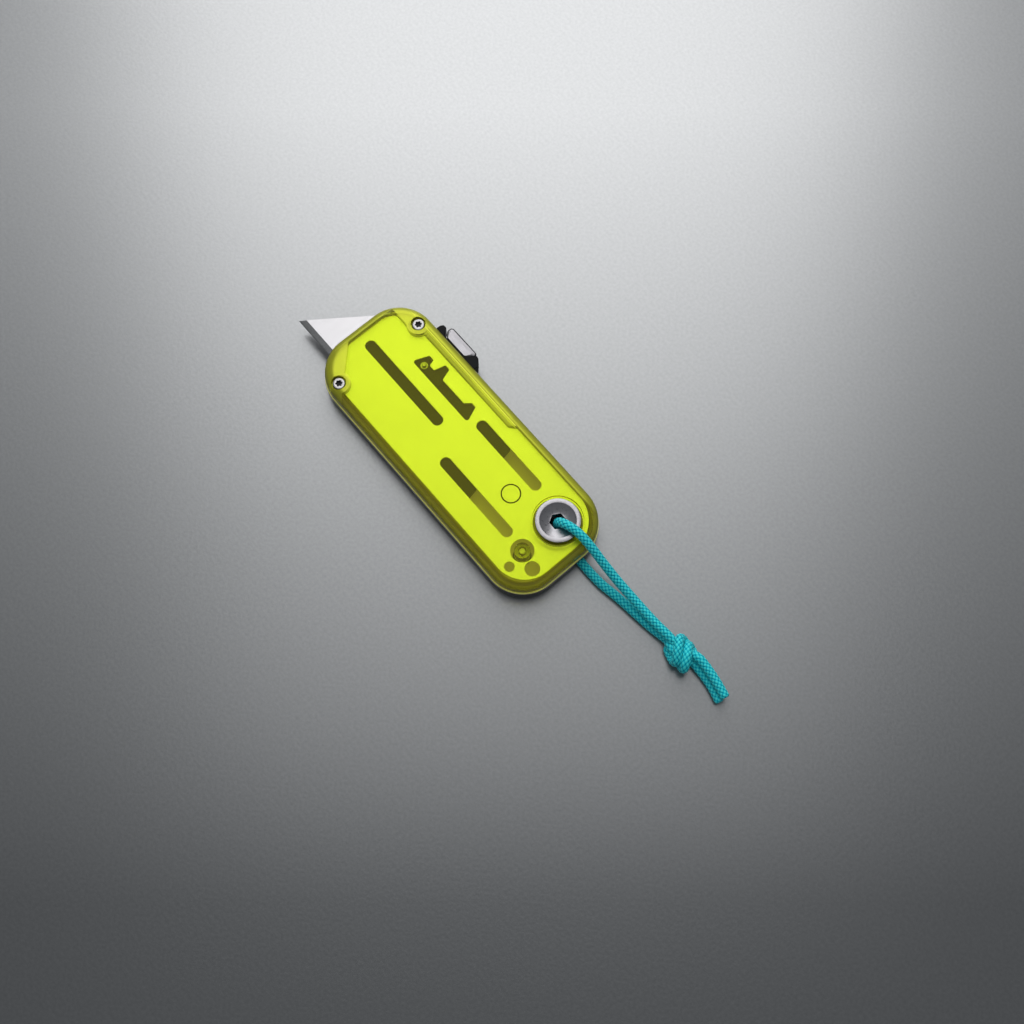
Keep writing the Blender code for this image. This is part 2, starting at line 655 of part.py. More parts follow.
def slider_button():
    """The button's base fills the slot; two ears stand above the handle and hold the metal pad."""
    side_y = BUTTON_SIDE_Y
    foot_y = side_y + WALL
    outline = rounded_outline([
        (BUTTON_FRONT_X, foot_y, 0.3), (BUTTON_FRONT_X, side_y - 0.6, 0.8),
        (BUTTON_FRONT_X - 1.0, BUTTON_TOP_Y, 0.7), (26.1, BUTTON_TOP_Y, 0.4), (24.6, side_y + 0.3, 0.3),
        (17.0, side_y + 0.3, 0.3), (15.0, BUTTON_TOP_Y - 0.7, 0.4), (14.0, BUTTON_TOP_Y - 0.5, 0.6),
        (BUTTON_REAR_X, side_y - 0.5, 0.8), (BUTTON_REAR_X, foot_y, 0.3),
    ], 4)
    button = plate("slider_button", [outline], (BUTTON_LOW_Z, BUTTON_HIGH_Z), parts, "black_plastic")
    arm = rounded_outline([
        (15.2, foot_y - 0.5, 0), (20.0, foot_y - 0.5, 0), (20.0, -8.8, 0.5), (PIN_X + 1.0, -8.2, 0.8),
        (PIN_X + 1.0, PIN_Y + 1.0, 0.9), (15.2, PIN_Y + 1.0, 0.8),
    ], 4)
    combine(button, plate("detent_arm", [arm], ARM_Z, cutters), "UNION")
    drill(button, "pin_hole", (PIN_X, PIN_Y), 0.75)
    return button


def slider_pad():
    side_y = BUTTON_SIDE_Y
    outline = rounded_outline([
        (24.2, side_y, 0.2), (25.5, PAD_TOP_Y + 0.3, 0.4), (24.9, PAD_TOP_Y, 0.3), (16.1, PAD_TOP_Y, 0.3),
        (15.5, PAD_TOP_Y + 0.3, 0.4), (17.4, side_y, 0.2),
    ], 3)
    return flat_curve("slider_pad", [outline], (BUTTON_LOW_Z, BUTTON_HIGH_Z), parts, "pad_metal")


def detent_pin():
    """A headed pin in the button's arm, its tip in the front liner's track."""
    tip, head, foot = 0.6, 0.95, 0.55
    profile = [(0, 7.4), (tip - 0.15, 7.4), (tip, 7.2), (tip, 6.75), (head, 6.75), (head, 6.5)]
    profile += [(foot, 6.5), (foot, ARM_Z[0]), (0, ARM_Z[0])]
    return turned("detent_pin", profile, (PIN_X, PIN_Y), parts, "screw_steel", SMALL_ROUND_STEPS)


def button_spring():
    """A compression spring from the carrier's tongue to the foot of the button."""
    turns, radius, wire = 4, 0.85, 0.28
    low_y, high_y = BUTTON_SIDE_Y + WALL + wire + 0.1, -11.2 - wire - 0.1
    points = []
    for step in range(turns * 8 + 1):
        angle = 2 * math.pi * step / 8
        y = low_y + (high_y - low_y) * step / (turns * 8)
        points.append(Vector((17.6 + radius * math.cos(angle), y, 3.5 + radius * math.sin(angle))))
    return tube("button_spring", points, wire, parts, "spring_steel")


# ---------------------------------------------------------------- lanyard


def lanyard():
    for name, route in (("cord_upper_leg", UPPER_LEG), ("cord_lower_leg", LOWER_LEG)):
        tube(name, smooth_route(route, CORD_DIAMETER), CORD_DIAMETER, parts, "cord")
    for name, route in (("cord_upper_tail", UPPER_TAIL), ("cord_lower_tail", LOWER_TAIL)):
        tube(name, smooth_route(route, CORD_DIAMETER), CORD_DIAMETER, parts, "cord")
    ball = bmesh.new()
    bmesh.ops.create_uvsphere(ball, u_segments=20, v_segments=12, radius=1)
    bmesh.ops.scale(ball, vec=[half * MM for half in KNOT_HALF_SIZE], verts=ball.verts)
    mesh = bpy.data.meshes.new("cord_knot")
    ball.to_mesh(mesh)
    ball.free()
    knot = add_object("cord_knot", mesh, parts, "cord")
    knot.location = [value * MM for value in KNOT_PLACE]
    knot.rotation_euler.z = math.radians(KNOT_TURN)


# ---------------------------------------------------------------- assembly


def moving_group(name, place, pieces, parent=None):
    """An empty on the joint's axis that carries the pieces of one moving body."""
    empty = bpy.data.objects.new(name, None)
    parts.objects.link(empty)
    empty.location = [value * MM for value in place]
    if parent:
        empty.parent = parent
        empty.matrix_parent_inverse = parent.matrix_world.inverted()
    bpy.context.view_layer.update()
    for piece in pieces:
        piece.parent = empty
        piece.matrix_parent_inverse = empty.matrix_world.inverted()
    return empty


def shade_round_pieces():
    for obj in parts.objects:
        if obj.type == "MESH":
            obj.data.shade_smooth()


clear_scene()
parts = make_collection("utility_knife")
cutters = make_collection("cutters")
for material_name in MATERIALS:
    make_material(material_name)

button_slot = button_slot_cutter()
blade_mouth = blade_mouth_cutter()
for half_shell in (front_shell(), back_shell()):
    combine(half_shell, button_slot, "DIFFERENCE")
    combine(half_shell, blade_mouth, "DIFFERENCE")
front_liner()
back_liner()
guide_rails()
for corner, corner_place in SCREW_PLACES.items():
    screw(corner, corner_place)
    threaded_insert(corner, corner_place)
eyelet_bolt()
eyelet_nut()
locating_pin()

carriage_pieces = [blade(), blade_carrier(), carrier_cover(), button_spring()]
carriage_pieces += [carrier_rivet(label, place) for label, place in zip(("front", "rear"), RIVET_PLACES)]
carriage = moving_group("carriage_axis", (PIN_X, 0, PARTING_Z), carriage_pieces)
button_pieces = [slider_button(), slider_pad(), detent_pin()]
moving_group("button_axis", (PIN_X, PIN_Y, PARTING_Z), button_pieces, carriage)
lanyard()
shade_round_pieces()
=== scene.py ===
"""Looks of a pocket utility knife: translucent handle, retracting blade and a braided lanyard.

The CAD frame gives the place of every piece. Lengths are in millimetres and become metres when a mesh is
made; only the lights and the floor are laid out in metres. +X points to the blade tip, -Y to the slider
button and +Z out of the front face.
"""

import json
import math

import bmesh
import bpy
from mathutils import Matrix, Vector


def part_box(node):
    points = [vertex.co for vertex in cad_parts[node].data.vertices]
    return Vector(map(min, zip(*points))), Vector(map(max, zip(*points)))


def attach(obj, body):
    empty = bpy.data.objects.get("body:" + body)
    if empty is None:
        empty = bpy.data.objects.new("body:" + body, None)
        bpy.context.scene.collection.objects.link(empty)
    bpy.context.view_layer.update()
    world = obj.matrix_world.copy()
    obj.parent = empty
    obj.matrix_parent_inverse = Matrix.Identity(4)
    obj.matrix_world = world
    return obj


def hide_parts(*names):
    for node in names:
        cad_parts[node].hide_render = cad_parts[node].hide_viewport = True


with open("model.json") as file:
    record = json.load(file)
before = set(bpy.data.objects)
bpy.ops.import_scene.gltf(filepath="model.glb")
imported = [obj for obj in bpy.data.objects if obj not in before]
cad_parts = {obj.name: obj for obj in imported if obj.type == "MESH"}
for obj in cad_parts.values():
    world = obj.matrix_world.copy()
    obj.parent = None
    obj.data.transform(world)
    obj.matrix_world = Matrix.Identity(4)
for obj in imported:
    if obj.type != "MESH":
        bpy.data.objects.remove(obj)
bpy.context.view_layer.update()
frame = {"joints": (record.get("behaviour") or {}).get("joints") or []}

MM = 0.001

# Camera
CAMERA_PLACE = (-99.43, 67.76, 340.04)
CAMERA_AIM = (-21.45, 1.16, 4.6)
CAMERA_LENS = 50

# Lights: place and size in metres, and power in watts
LIGHT_AIM_M = (-0.02, 0.0, 0.0)
KEY_LIGHT = ((0.40, -0.36, 0.50), (0.55, 0.80), 2.9)
OVERHEAD_LIGHT = ((0.07, -0.08, 0.75), (0.50, 0.30), 0.65)
ROOM_COLOUR = (0.9, 0.95, 1.0, 1)
ROOM_STRENGTH = 0.20

# Floor: the direction in which it is painted lighter, where that painted light starts and ends, and the
# colours of its grain
FLOOR_HALF_SIZE_M = 1.5
FLOOR_DROP = 0.05
FLOOR_AWAY = (0.76, -0.65, 0.0)
FLOOR_GRADE_M = (-0.11, 0.10)
FLOOR_NEAR = ((0.14, 0.145, 0.15), (0.20, 0.205, 0.21))
FLOOR_FAR = ((0.48, 0.485, 0.49), (0.64, 0.645, 0.65))

# Handle
CORNER_RADII = {"front_slider": 10.3, "front_edge": 10.7, "rear_edge": 10.0, "rear_slider": 10.9}
WALL = 1.5
EDGE_RADIUS = 2.6
PARTING_LEDGE = 0.24
GAP = 0.3
BOSS_DEPTH = 1.4
SCREW_BOSS_RADIUS = 2.6
SCREW_SEAT_RADIUS = 1.9
SCREW_BORE_RADIUS = 1.25
SCREW_HEAD_LOW_Z = 7.9
INSERT_BORE_RADIUS = 1.95
INSERT_BORE_Z = (1.6, 6)
PIN_BOSS_RADIUS = 2.0
PIN_BORE_RADIUS = 1.0
PIN_BORE_Z = (3, 7.4)
RING_PLACE = (-18.35, -1.15)
RING_RADII = (2.55, 2.2)

# The eyelet's seat in the front shell, the nut's recess in the back shell, and the bosses round them
EYELET_BORE_RADIUS = 4.1
EYELET_SEAT_RADIUS = 6.35
EYELET_SEAT_Z = 8.3
EYELET_BOSS_RADIUS = 4.8
NUT_SEAT_RADIUS = 5.3
NUT_SEAT_Z = 3.65
NUT_BOSS_RADIUS = 6.1
NUT_BOSS_LOW_Z = 1.0

# Round windows of the front liner
BOSS_WINDOW_RADIUS = 2.95
EYELET_WINDOW_RADIUS = 6.15

# Openings in the shells: the button's slot, the blade's mouth and the groove for the lower cord run
SLOT_Y = (-17.1, -14.0)
MOUTH_X = (34.0, 42.7)
MOUTH_SIDE_GAP = 0.4
MOUTH_FACE_GAP = 0.35
GROOVE_WIDTH = 3.4
GROOVE_TOP_Z = 2.8
GROOVE_END_X = -45.0
GROOVE_SLOPE = math.radians(-4.0)

# Heights for cutters that end below, inside or above the handle
CUT_BELOW_Z = -1
CUT_INSIDE_Z = 3
CUT_ABOVE_Z = 12

# Blade, the common trapezoid size
BLADE_END_RUN = 13.9
BLADE_BEVEL = 1.6
BLADE_MICRO_BEVEL = 0.35
BLADE_NOTCH_RADIUS = 1.4
BLADE_NOTCH_SPACING = 9.5

# Hollow bolt
BOLT_SOCKET_FLATS = 3.8
BOLT_DISH_RADII = (1.9, 4.35)
BOLT_DISH_LOW_Z = 8.42

# Slider
BUTTON_SIDE_Y = -16.1
BUTTON_FOOT_Y = -14.6
PIN_ARM_Z = (5.85, 6.35)
DETENT_PIN_RADIUS = 0.75
PAD_SHOULDER = 0.4
PAD_BEVEL = 0.22

# How finely curves are divided
CORNER_STEPS = 24
ROUND_STEPS = 96
CORD_STEPS = 60

# Lanyard: the two strands that run from the middle of the eyelet's bore to their own bare ends
CORD_DIAMETER = 2.4
CORD_STEP = 0.12
CORD_END_ROUND = 0.5
BRAID_STRANDS = 6
BRAID_PITCH = 1.2
BRAID_RELIEF = 0.20
UPPER_LEG = [
    (-31.4, -5.05, 6.4), (-31.45, -5.06, 7.3), (-31.85, -5.17, 8.5), (-32.6, -5.36, 9.5),
    (-33.8, -5.65, 10.4), (-35.3, -6.0, 10.85), (-37.0, -6.3, 10.9), (-39.2, -6.5, 10.6),
    (-42.0, -6.6, 9.7), (-46.0, -6.6, 8.0), (-51.0, -6.7, 6.0), (-56.5, -6.9, 4.6), (-61.1, -7.0, 4.0),
    (-65.4, -7.1, 3.9), (-69.6, -7.35, 3.9),
]
LOWER_LEG = [
    (-31.4, -5.05, 6.0), (-31.45, -5.05, 5.1), (-31.75, -5.0, 4.0), (-32.4, -4.95, 3.0),
    (-33.4, -4.85, 2.15), (-34.8, -4.7, 1.6), (-36.6, -4.5, 1.4), (-41.0, -4.1, 1.35), (-45.5, -4.0, 1.3),
    (-49.3, -4.2, 1.3), (-53.0, -4.8, 1.3), (-56.9, -5.3, 1.3), (-60.8, -5.7, 1.3), (-65.1, -6.2, 1.3),
    (-69.85, -6.6, 1.45),
]
UPPER_KNOT = [
    (-69.8, -7.4, 3.8), (-71.4, -7.4, 3.4), (-74.0, -7.6, 3.2), (-75.9, -7.9, 3.1), (-76.8, -8.8, 2.6),
    (-76.0, -9.6, 1.8), (-74.5, -9.8, 1.5), (-72.9, -9.8, 1.9), (-71.8, -9.5, 3.0), (-72.0, -8.5, 4.6),
    (-73.4, -6.7, 5.3), (-74.6, -5.3, 4.9), (-75.3, -4.6, 3.9), (-74.9, -4.5, 2.4), (-73.5, -4.9, 1.5),
    (-71.6, -5.7, 1.3), (-71.3, -7.5, 1.3), (-73.0, -8.8, 1.3), (-75.0, -9.1, 2.1), (-76.5, -9.0, 3.3),
]
LOWER_KNOT = [
    (-69.7, -6.9, 1.9), (-71.2, -6.4, 2.7), (-73.3, -6.0, 3.1), (-75.6, -6.1, 3.1), (-77.1, -7.0, 2.4),
    (-77.1, -8.4, 1.5), (-76.2, -9.2, 1.3), (-75.0, -9.8, 2.0), (-74.3, -9.6, 3.3), (-74.8, -8.8, 4.6),
    (-76.1, -7.1, 5.3), (-77.2, -5.6, 4.9), (-77.7, -4.9, 3.7), (-77.2, -5.0, 2.2), (-75.6, -5.7, 1.4),
    (-74.9, -7.2, 1.3), (-75.8, -8.2, 1.3), (-77.2, -8.4, 1.4),
]
UPPER_TAIL = [
    (-78.4, -9.3, 3.9), (-80.7, -9.2, 3.8), (-83.3, -8.9, 3.7), (-86.1, -8.4, 3.6), (-89.4, -7.7, 3.4),
]
LOWER_TAIL = [
    (-78.9, -8.1, 1.5), (-82.0, -7.9, 1.3), (-84.6, -7.6, 1.25), (-87.1, -7.0, 1.25), (-89.2, -6.4, 1.25),
]

# Linear colours
STEEL = (0.44, 0.43, 0.43)
SHELL_TINT = (0.94, 1.0, 0.42)
SHELL_DYE = (0.70, 0.62, 0.06)
# Shell tint on steep slopes, darker than on shallow ones as painted shade
SHELL_STEEP_PAINTED_SHADE = (0.15, 0.12, 0.004)
SHELL_SHALLOW = (0.72, 0.74, 0.03)
# Colour of the painted highlight laid on the front shell
SHELL_PAINTED_HIGHLIGHT = (0.76, 0.81, 0.06)
# How far the back shell's colours are darkened, almost to black, as painted shade
BACK_PAINTED_SHADE_DEPTH = 0.12
INNER_LIGHT = (0.14, 0.12, 0.06)
# Cord: painted shade in the braid's grooves, its own teal on the flanks, painted highlight on the crowns
BRAID_GROOVE_PAINTED_SHADE = (0.0, 0.08, 0.17, 1)
BRAID_FLANK_COLOUR = (0.0, 0.58, 0.76, 1)
BRAID_CROWN_PAINTED_HIGHLIGHT = (0.10, 1.0, 1.0, 1)

# How strongly painted highlight is laid on the front shell at its corners, over the bay, along the bay's
# painted light line and on its far slope, and between which coordinates each of these begins
CORNER_GLOW = 0.5
BAY_GLOW = 0.22
LINE_GLOW = 0.75
FAR_SLOPE_GLOW = 0.6
GLOW_CUT_CORNER_SUM = (42.7, 42.9)
GLOW_BEYOND_LINER_X = (38.4, 38.7)
GLOW_BESIDE_LINER_Y = (-9.8, -10.0)
GLOW_BESIDE_LINER_X = (31.3, 31.5)
GLOW_SCREW_REACH = (3.05, 2.9)
GLOW_BAY_Y = (-11.7, -11.9)
GLOW_BAY_DIFFERENCE = (6.8, 7.0)
GLOW_LINE_Y = -13.1
GLOW_LINE_REACH = (0.22, 0.08)
GLOW_FAR_SLOPE_Y = (-13.2, -13.6)
GLOW_REAR_CORNER_SUM = (48.7, 49.6)


# ---------------------------------------------------------------- CAD places


def low_mm(node):
    return Vector(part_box(node)[0]) / MM


def high_mm(node):
    return Vector(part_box(node)[1]) / MM


def centre_mm(node):
    middle = (low_mm(node) + high_mm(node)) / 2
    return middle.x, middle.y


EYELET = centre_mm("eyelet_bolt")
PIN_PLACE = centre_mm("locating_pin")
SCREW_PLACES = {"front_top": centre_mm("screw_front_top"), "front_bottom": centre_mm("screw_front_bottom")}


# ---------------------------------------------------------------- meshes


def add_piece(name, mesh, material, body, replaces=()):
    """Link a new piece, give it its material, and say which body carries it and which nodes it replaces."""
    obj = bpy.data.objects.new(name, mesh)
    bpy.context.scene.collection.objects.link(obj)
    mesh.materials.clear()
    mesh.materials.append(material)
    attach(obj, body)
    if replaces:
        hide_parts(*replaces)
    return obj


def temporary(name, mesh):
    obj = bpy.data.objects.new(name, mesh)
    bpy.context.scene.collection.objects.link(obj)
    return obj


def evaluated_mesh(obj):
    bpy.context.view_layer.update()
    graph = bpy.context.evaluated_depsgraph_get()
    return bpy.data.meshes.new_from_object(obj.evaluated_get(graph))


def take_mesh(obj):
    """The mesh that an object's modifiers make; the object itself is removed."""
    mesh = evaluated_mesh(obj)
    bpy.data.objects.remove(obj, do_unlink=True)
    return mesh


def combined(mesh, steps):
    """Apply a list of (operation, mesh) Booleans to a mesh."""
    target = temporary("target", mesh)
    operands = []
    for operation, operand in steps:
        piece = temporary("operand", operand)
        operands.append(piece)
        boolean = target.modifiers.new(operation, "BOOLEAN")
        boolean.operation = operation
        boolean.object = piece
    result = take_mesh(target)
    for piece in operands:
        bpy.data.objects.remove(piece, do_unlink=True)
    return result


def softened(mesh, bevel=0.0, segments=2, angle=35.0):
    """Round the sharp edges by a small bevel and shade the rest smooth."""
    obj = temporary("softened", mesh)
    if bevel:
        rounding = obj.modifiers.new("Bevel", "BEVEL")
        rounding.limit_method = "ANGLE"
        rounding.angle_limit = math.radians(angle)
        rounding.width = bevel * MM
        rounding.segments = segments
        rounding.harden_normals = False
    result = take_mesh(obj)
    result.shade_smooth()
    result.set_sharp_from_angle(angle=math.radians(angle))
    weighted = temporary("weighted", result)
    normals = weighted.modifiers.new("Normals", "WEIGHTED_NORMAL")
    normals.keep_sharp = True
    normals.weight = 90
    return take_mesh(weighted)


def rounded_outline(corners, steps=8):
    """The points of a closed polygon whose corners, given as (x, y, radius), are rounded by arcs."""
    points = []
    for index, (x, y, radius) in enumerate(corners):
        corner = Vector((x, y))
        before = (Vector(corners[index - 1][:2]) - corner).normalized()
        after = (Vector(corners[(index + 1) % len(corners)][:2]) - corner).normalized()
        if radius == 0:
            points.append(corner)
            continue
        half_angle = before.angle(after) / 2
        centre = corner + (before + after).normalized() * radius / math.sin(half_angle)
        first = corner + before * radius / math.tan(half_angle) - centre
        last = corner + after * radius / math.tan(half_angle) - centre
        sweep = first.angle_signed(last)
        for step in range(steps + 1):
            turned_by = -sweep * step / steps
            cos, sin = math.cos(turned_by), math.sin(turned_by)
            spoke = Vector((first.x * cos - first.y * sin, first.x * sin + first.y * cos))
            points.append(centre + spoke)
    return points


def slot_outline(x_low, x_high, y_low, y_high, radius, steps=12):
    corners = [(x_low, y_low), (x_high, y_low), (x_high, y_high), (x_low, y_high)]
    return rounded_outline([(x, y, radius) for x, y in corners], steps)


def circle_outline(centre, radius, count=64):
    angles = [2 * math.pi * index / count for index in range(count)]
    return [Vector((centre[0] + radius * math.cos(a), centre[1] + radius * math.sin(a))) for a in angles]


def plate(outlines, z_range):
    """A flat plate through the outlines, the later ones being holes in the first."""
    low, high = z_range
    curve = bpy.data.curves.new("plate", "CURVE")
    curve.dimensions = "2D"
    curve.fill_mode = "BOTH"
    curve.extrude = (high - low) / 2 * MM
    for outline in outlines:
        spline = curve.splines.new("POLY")
        spline.points.add(len(outline) - 1)
        for point, (x, y) in zip(spline.points, outline):
            point.co = (x * MM, y * MM, 0, 1)
        spline.use_cyclic_u = True
    mesh = take_mesh(temporary("plate", curve))
    solid = bmesh.new()
    solid.from_mesh(mesh)
    bmesh.ops.translate(solid, verts=solid.verts, vec=(0, 0, (low + high) / 2 * MM))
    bmesh.ops.remove_doubles(solid, verts=solid.verts, dist=1e-6)
    bmesh.ops.dissolve_limit(solid, angle_limit=math.radians(0.5), verts=solid.verts, edges=solid.edges)
    solid.to_mesh(mesh)
    solid.free()
    return mesh


def ring_faces(ring_count, count, closed=False):
    """Faces that join rings of equal point counts, capped at both ends or closed on themselves."""
    faces = []
    pairs = list(zip(range(ring_count - 1), range(1, ring_count)))
    if closed:
        pairs.append((ring_count - 1, 0))
    for lower, upper in pairs:
        for index in range(count):
            after = (index + 1) % count
            faces.append((
                lower * count + index, lower * count + after, upper * count + after, upper * count + index,
            ))
    if not closed:
        faces.append(tuple(reversed(range(count))))
        faces.append(tuple((ring_count - 1) * count + index for index in range(count)))
    return faces


def lofted(rings, closed=False):
    """A surface through rings of equal point counts, capped at both ends or closed on itself."""
    vertices = [tuple(value * MM for value in point) for ring in rings for point in ring]
    mesh = bpy.data.meshes.new("lofted")
    mesh.from_pydata(vertices, [], ring_faces(len(rings), len(rings[0]), closed))
    mesh.update()
    outward = bmesh.new()
    outward.from_mesh(mesh)
    bmesh.ops.recalc_face_normals(outward, faces=outward.faces)
    outward.to_mesh(mesh)
    outward.free()
    return mesh


def turned(profile, centre, steps=ROUND_STEPS, closed=False):
    """A turned solid from (radius, z) points; a closed profile makes a ring."""
    rings = []
    for radius, z in profile:
        radius = max(radius, 0.001)
        rings.append([
            (centre[0] + radius * math.cos(angle), centre[1] + radius * math.sin(angle), z)
            for angle in (2 * math.pi * step / steps for step in range(steps))
        ])
    return lofted(rings, closed)


def cylinder(centre, radius, z_range, steps=ROUND_STEPS):
    return turned([(radius, z_range[0]), (radius, z_range[1])], centre, steps)


def block(low, high):
    corners = [(low[0], low[1]), (high[0], low[1]), (high[0], high[1]), (low[0], high[1])]
    return lofted([[(x, y, z) for x, y in corners] for z in (low[2], high[2])])


# ---------------------------------------------------------------- materials


def node(tree, kind, inputs=None, **settings):
    """Add a shader node, set its properties, and link or set its inputs."""
    made = tree.nodes.new("ShaderNode" + kind)
    for key, value in settings.items():
        setattr(made, key, value)
    for key, value in (inputs or {}).items():
        if isinstance(value, bpy.types.NodeSocket):
            tree.links.new(value, made.inputs[key])
        else:
            made.inputs[key].default_value = value
    return made


def new_material(name):
    material = bpy.data.materials.new(name)
    material.use_nodes = True
    tree = material.node_tree
    tree.nodes.clear()
    return material, tree


def finish_material(tree, shader):
    node(tree, "OutputMaterial", {"Surface": shader})


def object_noise(tree, scale, detail=3.0, stretch=(1, 1, 1)):
    place = node(tree, "TexCoord").outputs["Object"]
    mapped = node(tree, "Mapping", {"Vector": place, "Scale": stretch}).outputs["Vector"]
    return node(tree, "TexNoise", {"Vector": mapped, "Scale": scale, "Detail": detail}).outputs["Fac"]


def ramp_value(tree, factor, low, high):
    """Map a 0 to 1 texture to a range of numbers."""
    return node(
        tree, "MapRange", {"Value": factor, "From Min": 0.3, "From Max": 0.7, "To Min": low, "To Max": high}
    ).outputs["Result"]


def rising(tree, value, low, high, first=0.0, last=1.0):
    """Go from one number to another while a value goes from low to high."""
    return node(tree, "MapRange", {
        "Value": value, "From Min": low, "From Max": high, "To Min": first, "To Max": last,
    }).outputs["Result"]


def combine_values(tree, operation, first, second):
    return node(tree, "Math", {0: first, 1: second}, operation=operation).outputs["Value"]


def mixed_shader(tree, factor, first, second):
    return node(tree, "MixShader", {0: factor, 1: first, 2: second}).outputs["Shader"]


def largest(tree, first, second):
    return combine_values(tree, "MAXIMUM", first, second)


def product(tree, first, second):
    return combine_values(tree, "MULTIPLY", first, second)


def without_sign(tree, value):
    return node(tree, "Math", {0: value}, operation="ABSOLUTE").outputs["Value"]


def mixed_colour(tree, factor, first, second):
    """Mix two colours, each given as three numbers or as a socket."""
    ends = [end if isinstance(end, bpy.types.NodeSocket) else (*end, 1) for end in (first, second)]
    return node(
        tree, "Mix", {"Factor": factor, "A": ends[0], "B": ends[1]}, data_type="RGBA"
    ).outputs["Result"]


def bump(tree, height, strength, distance):
    return node(
        tree, "Bump", {"Height": height, "Strength": strength, "Distance": distance * MM}
    ).outputs["Normal"]


def metal(name, colour, roughness, stretch=(1, 1, 1), grain=2500.0, bump_strength=0.15, variation=0.08):
    """Metal with fine grain, streaked where the texture is stretched, and faint stains."""
    material, tree = new_material(name)
    fine = object_noise(tree, grain, 4.0, stretch)
    broad = object_noise(tree, 120.0, 2.0)
    darker = tuple(channel * (1 - variation) for channel in colour)
    shader = node(tree, "BsdfPrincipled", {
        "Base Color": mixed_colour(tree, broad, darker, colour),
        "Metallic": 1.0,
        "Roughness": ramp_value(tree, fine, roughness * 0.8, roughness * 1.2),
        "Normal": bump(tree, fine, bump_strength, 0.02),
    })
    finish_material(tree, shader.outputs["BSDF"])
    return material


def blasted_steel(name, colour):
    """Bead-blasted plate; its faint glow stands for the light that reaches it through the shells' edges."""
    material, tree = new_material(name)
    grain = object_noise(tree, 3000.0, 4.0)
    broad = object_noise(tree, 150.0, 2.0)
    darker = tuple(channel * 0.9 for channel in colour)
    shader = node(tree, "BsdfPrincipled", {
        "Base Color": mixed_colour(tree, broad, darker, colour),
        "Metallic": 0.25,
        "Roughness": ramp_value(tree, grain, 0.6, 0.75),
        "Specular IOR Level": 0.2,
        "Emission Color": (*INNER_LIGHT, 1),
        "Emission Strength": 1.0,
        "Normal": bump(tree, grain, 0.2, 0.02),
    })
    finish_material(tree, shader.outputs["BSDF"])
    return material


def ground_steel(name, face_colour, bevel_shade_colour):
    """Brushed blade steel whose ground bevels are painted darker as painted shade, with fine grind marks
    across the edge.
    """
    material, tree = new_material(name)
    brushed = object_noise(tree, 2200.0, 4.0, (1, 0.08, 1))
    ground = object_noise(tree, 5000.0, 3.0, (1, 0.05, 1))
    facing = node(tree, "NewGeometry").outputs["Normal"]
    upward = node(tree, "SeparateXYZ", {"Vector": facing}).outputs["Z"]
    flat = without_sign(tree, upward)
    face_share = rising(tree, flat, 0.988, 0.997)
    # The bevels, picked by the way their faces point, get a darker colour as painted shade; the grind marks
    # on them are real
    marked = mixed_colour(tree, ground, bevel_shade_colour, tuple(channel * 0.5 for channel in bevel_shade_colour))
    shader = node(tree, "BsdfPrincipled", {
        "Base Color": mixed_colour(tree, face_share, marked, face_colour),
        "Metallic": 1.0,
        "Roughness": ramp_value(tree, brushed, 0.28, 0.36),
        "Normal": bump(tree, brushed, 0.05, 0.01),
    })
    finish_material(tree, shader.outputs["BSDF"])
    return material


def plastic(name, colour, roughness):
    """Opaque moulded plastic with a faint spark-eroded grain."""
    material, tree = new_material(name)
    grain = object_noise(tree, 3500.0, 3.0)
    broad = object_noise(tree, 200.0, 2.0)
    lighter = tuple(channel * 1.6 + 0.002 for channel in colour)
    shader = node(tree, "BsdfPrincipled", {
        "Base Color": mixed_colour(tree, broad, colour, lighter),
        "Roughness": ramp_value(tree, grain, roughness * 0.85, roughness * 1.15),
        "Specular IOR Level": 0.12,
        "Normal": bump(tree, grain, 0.2, 0.03),
    })
    finish_material(tree, shader.outputs["BSDF"])
    return material


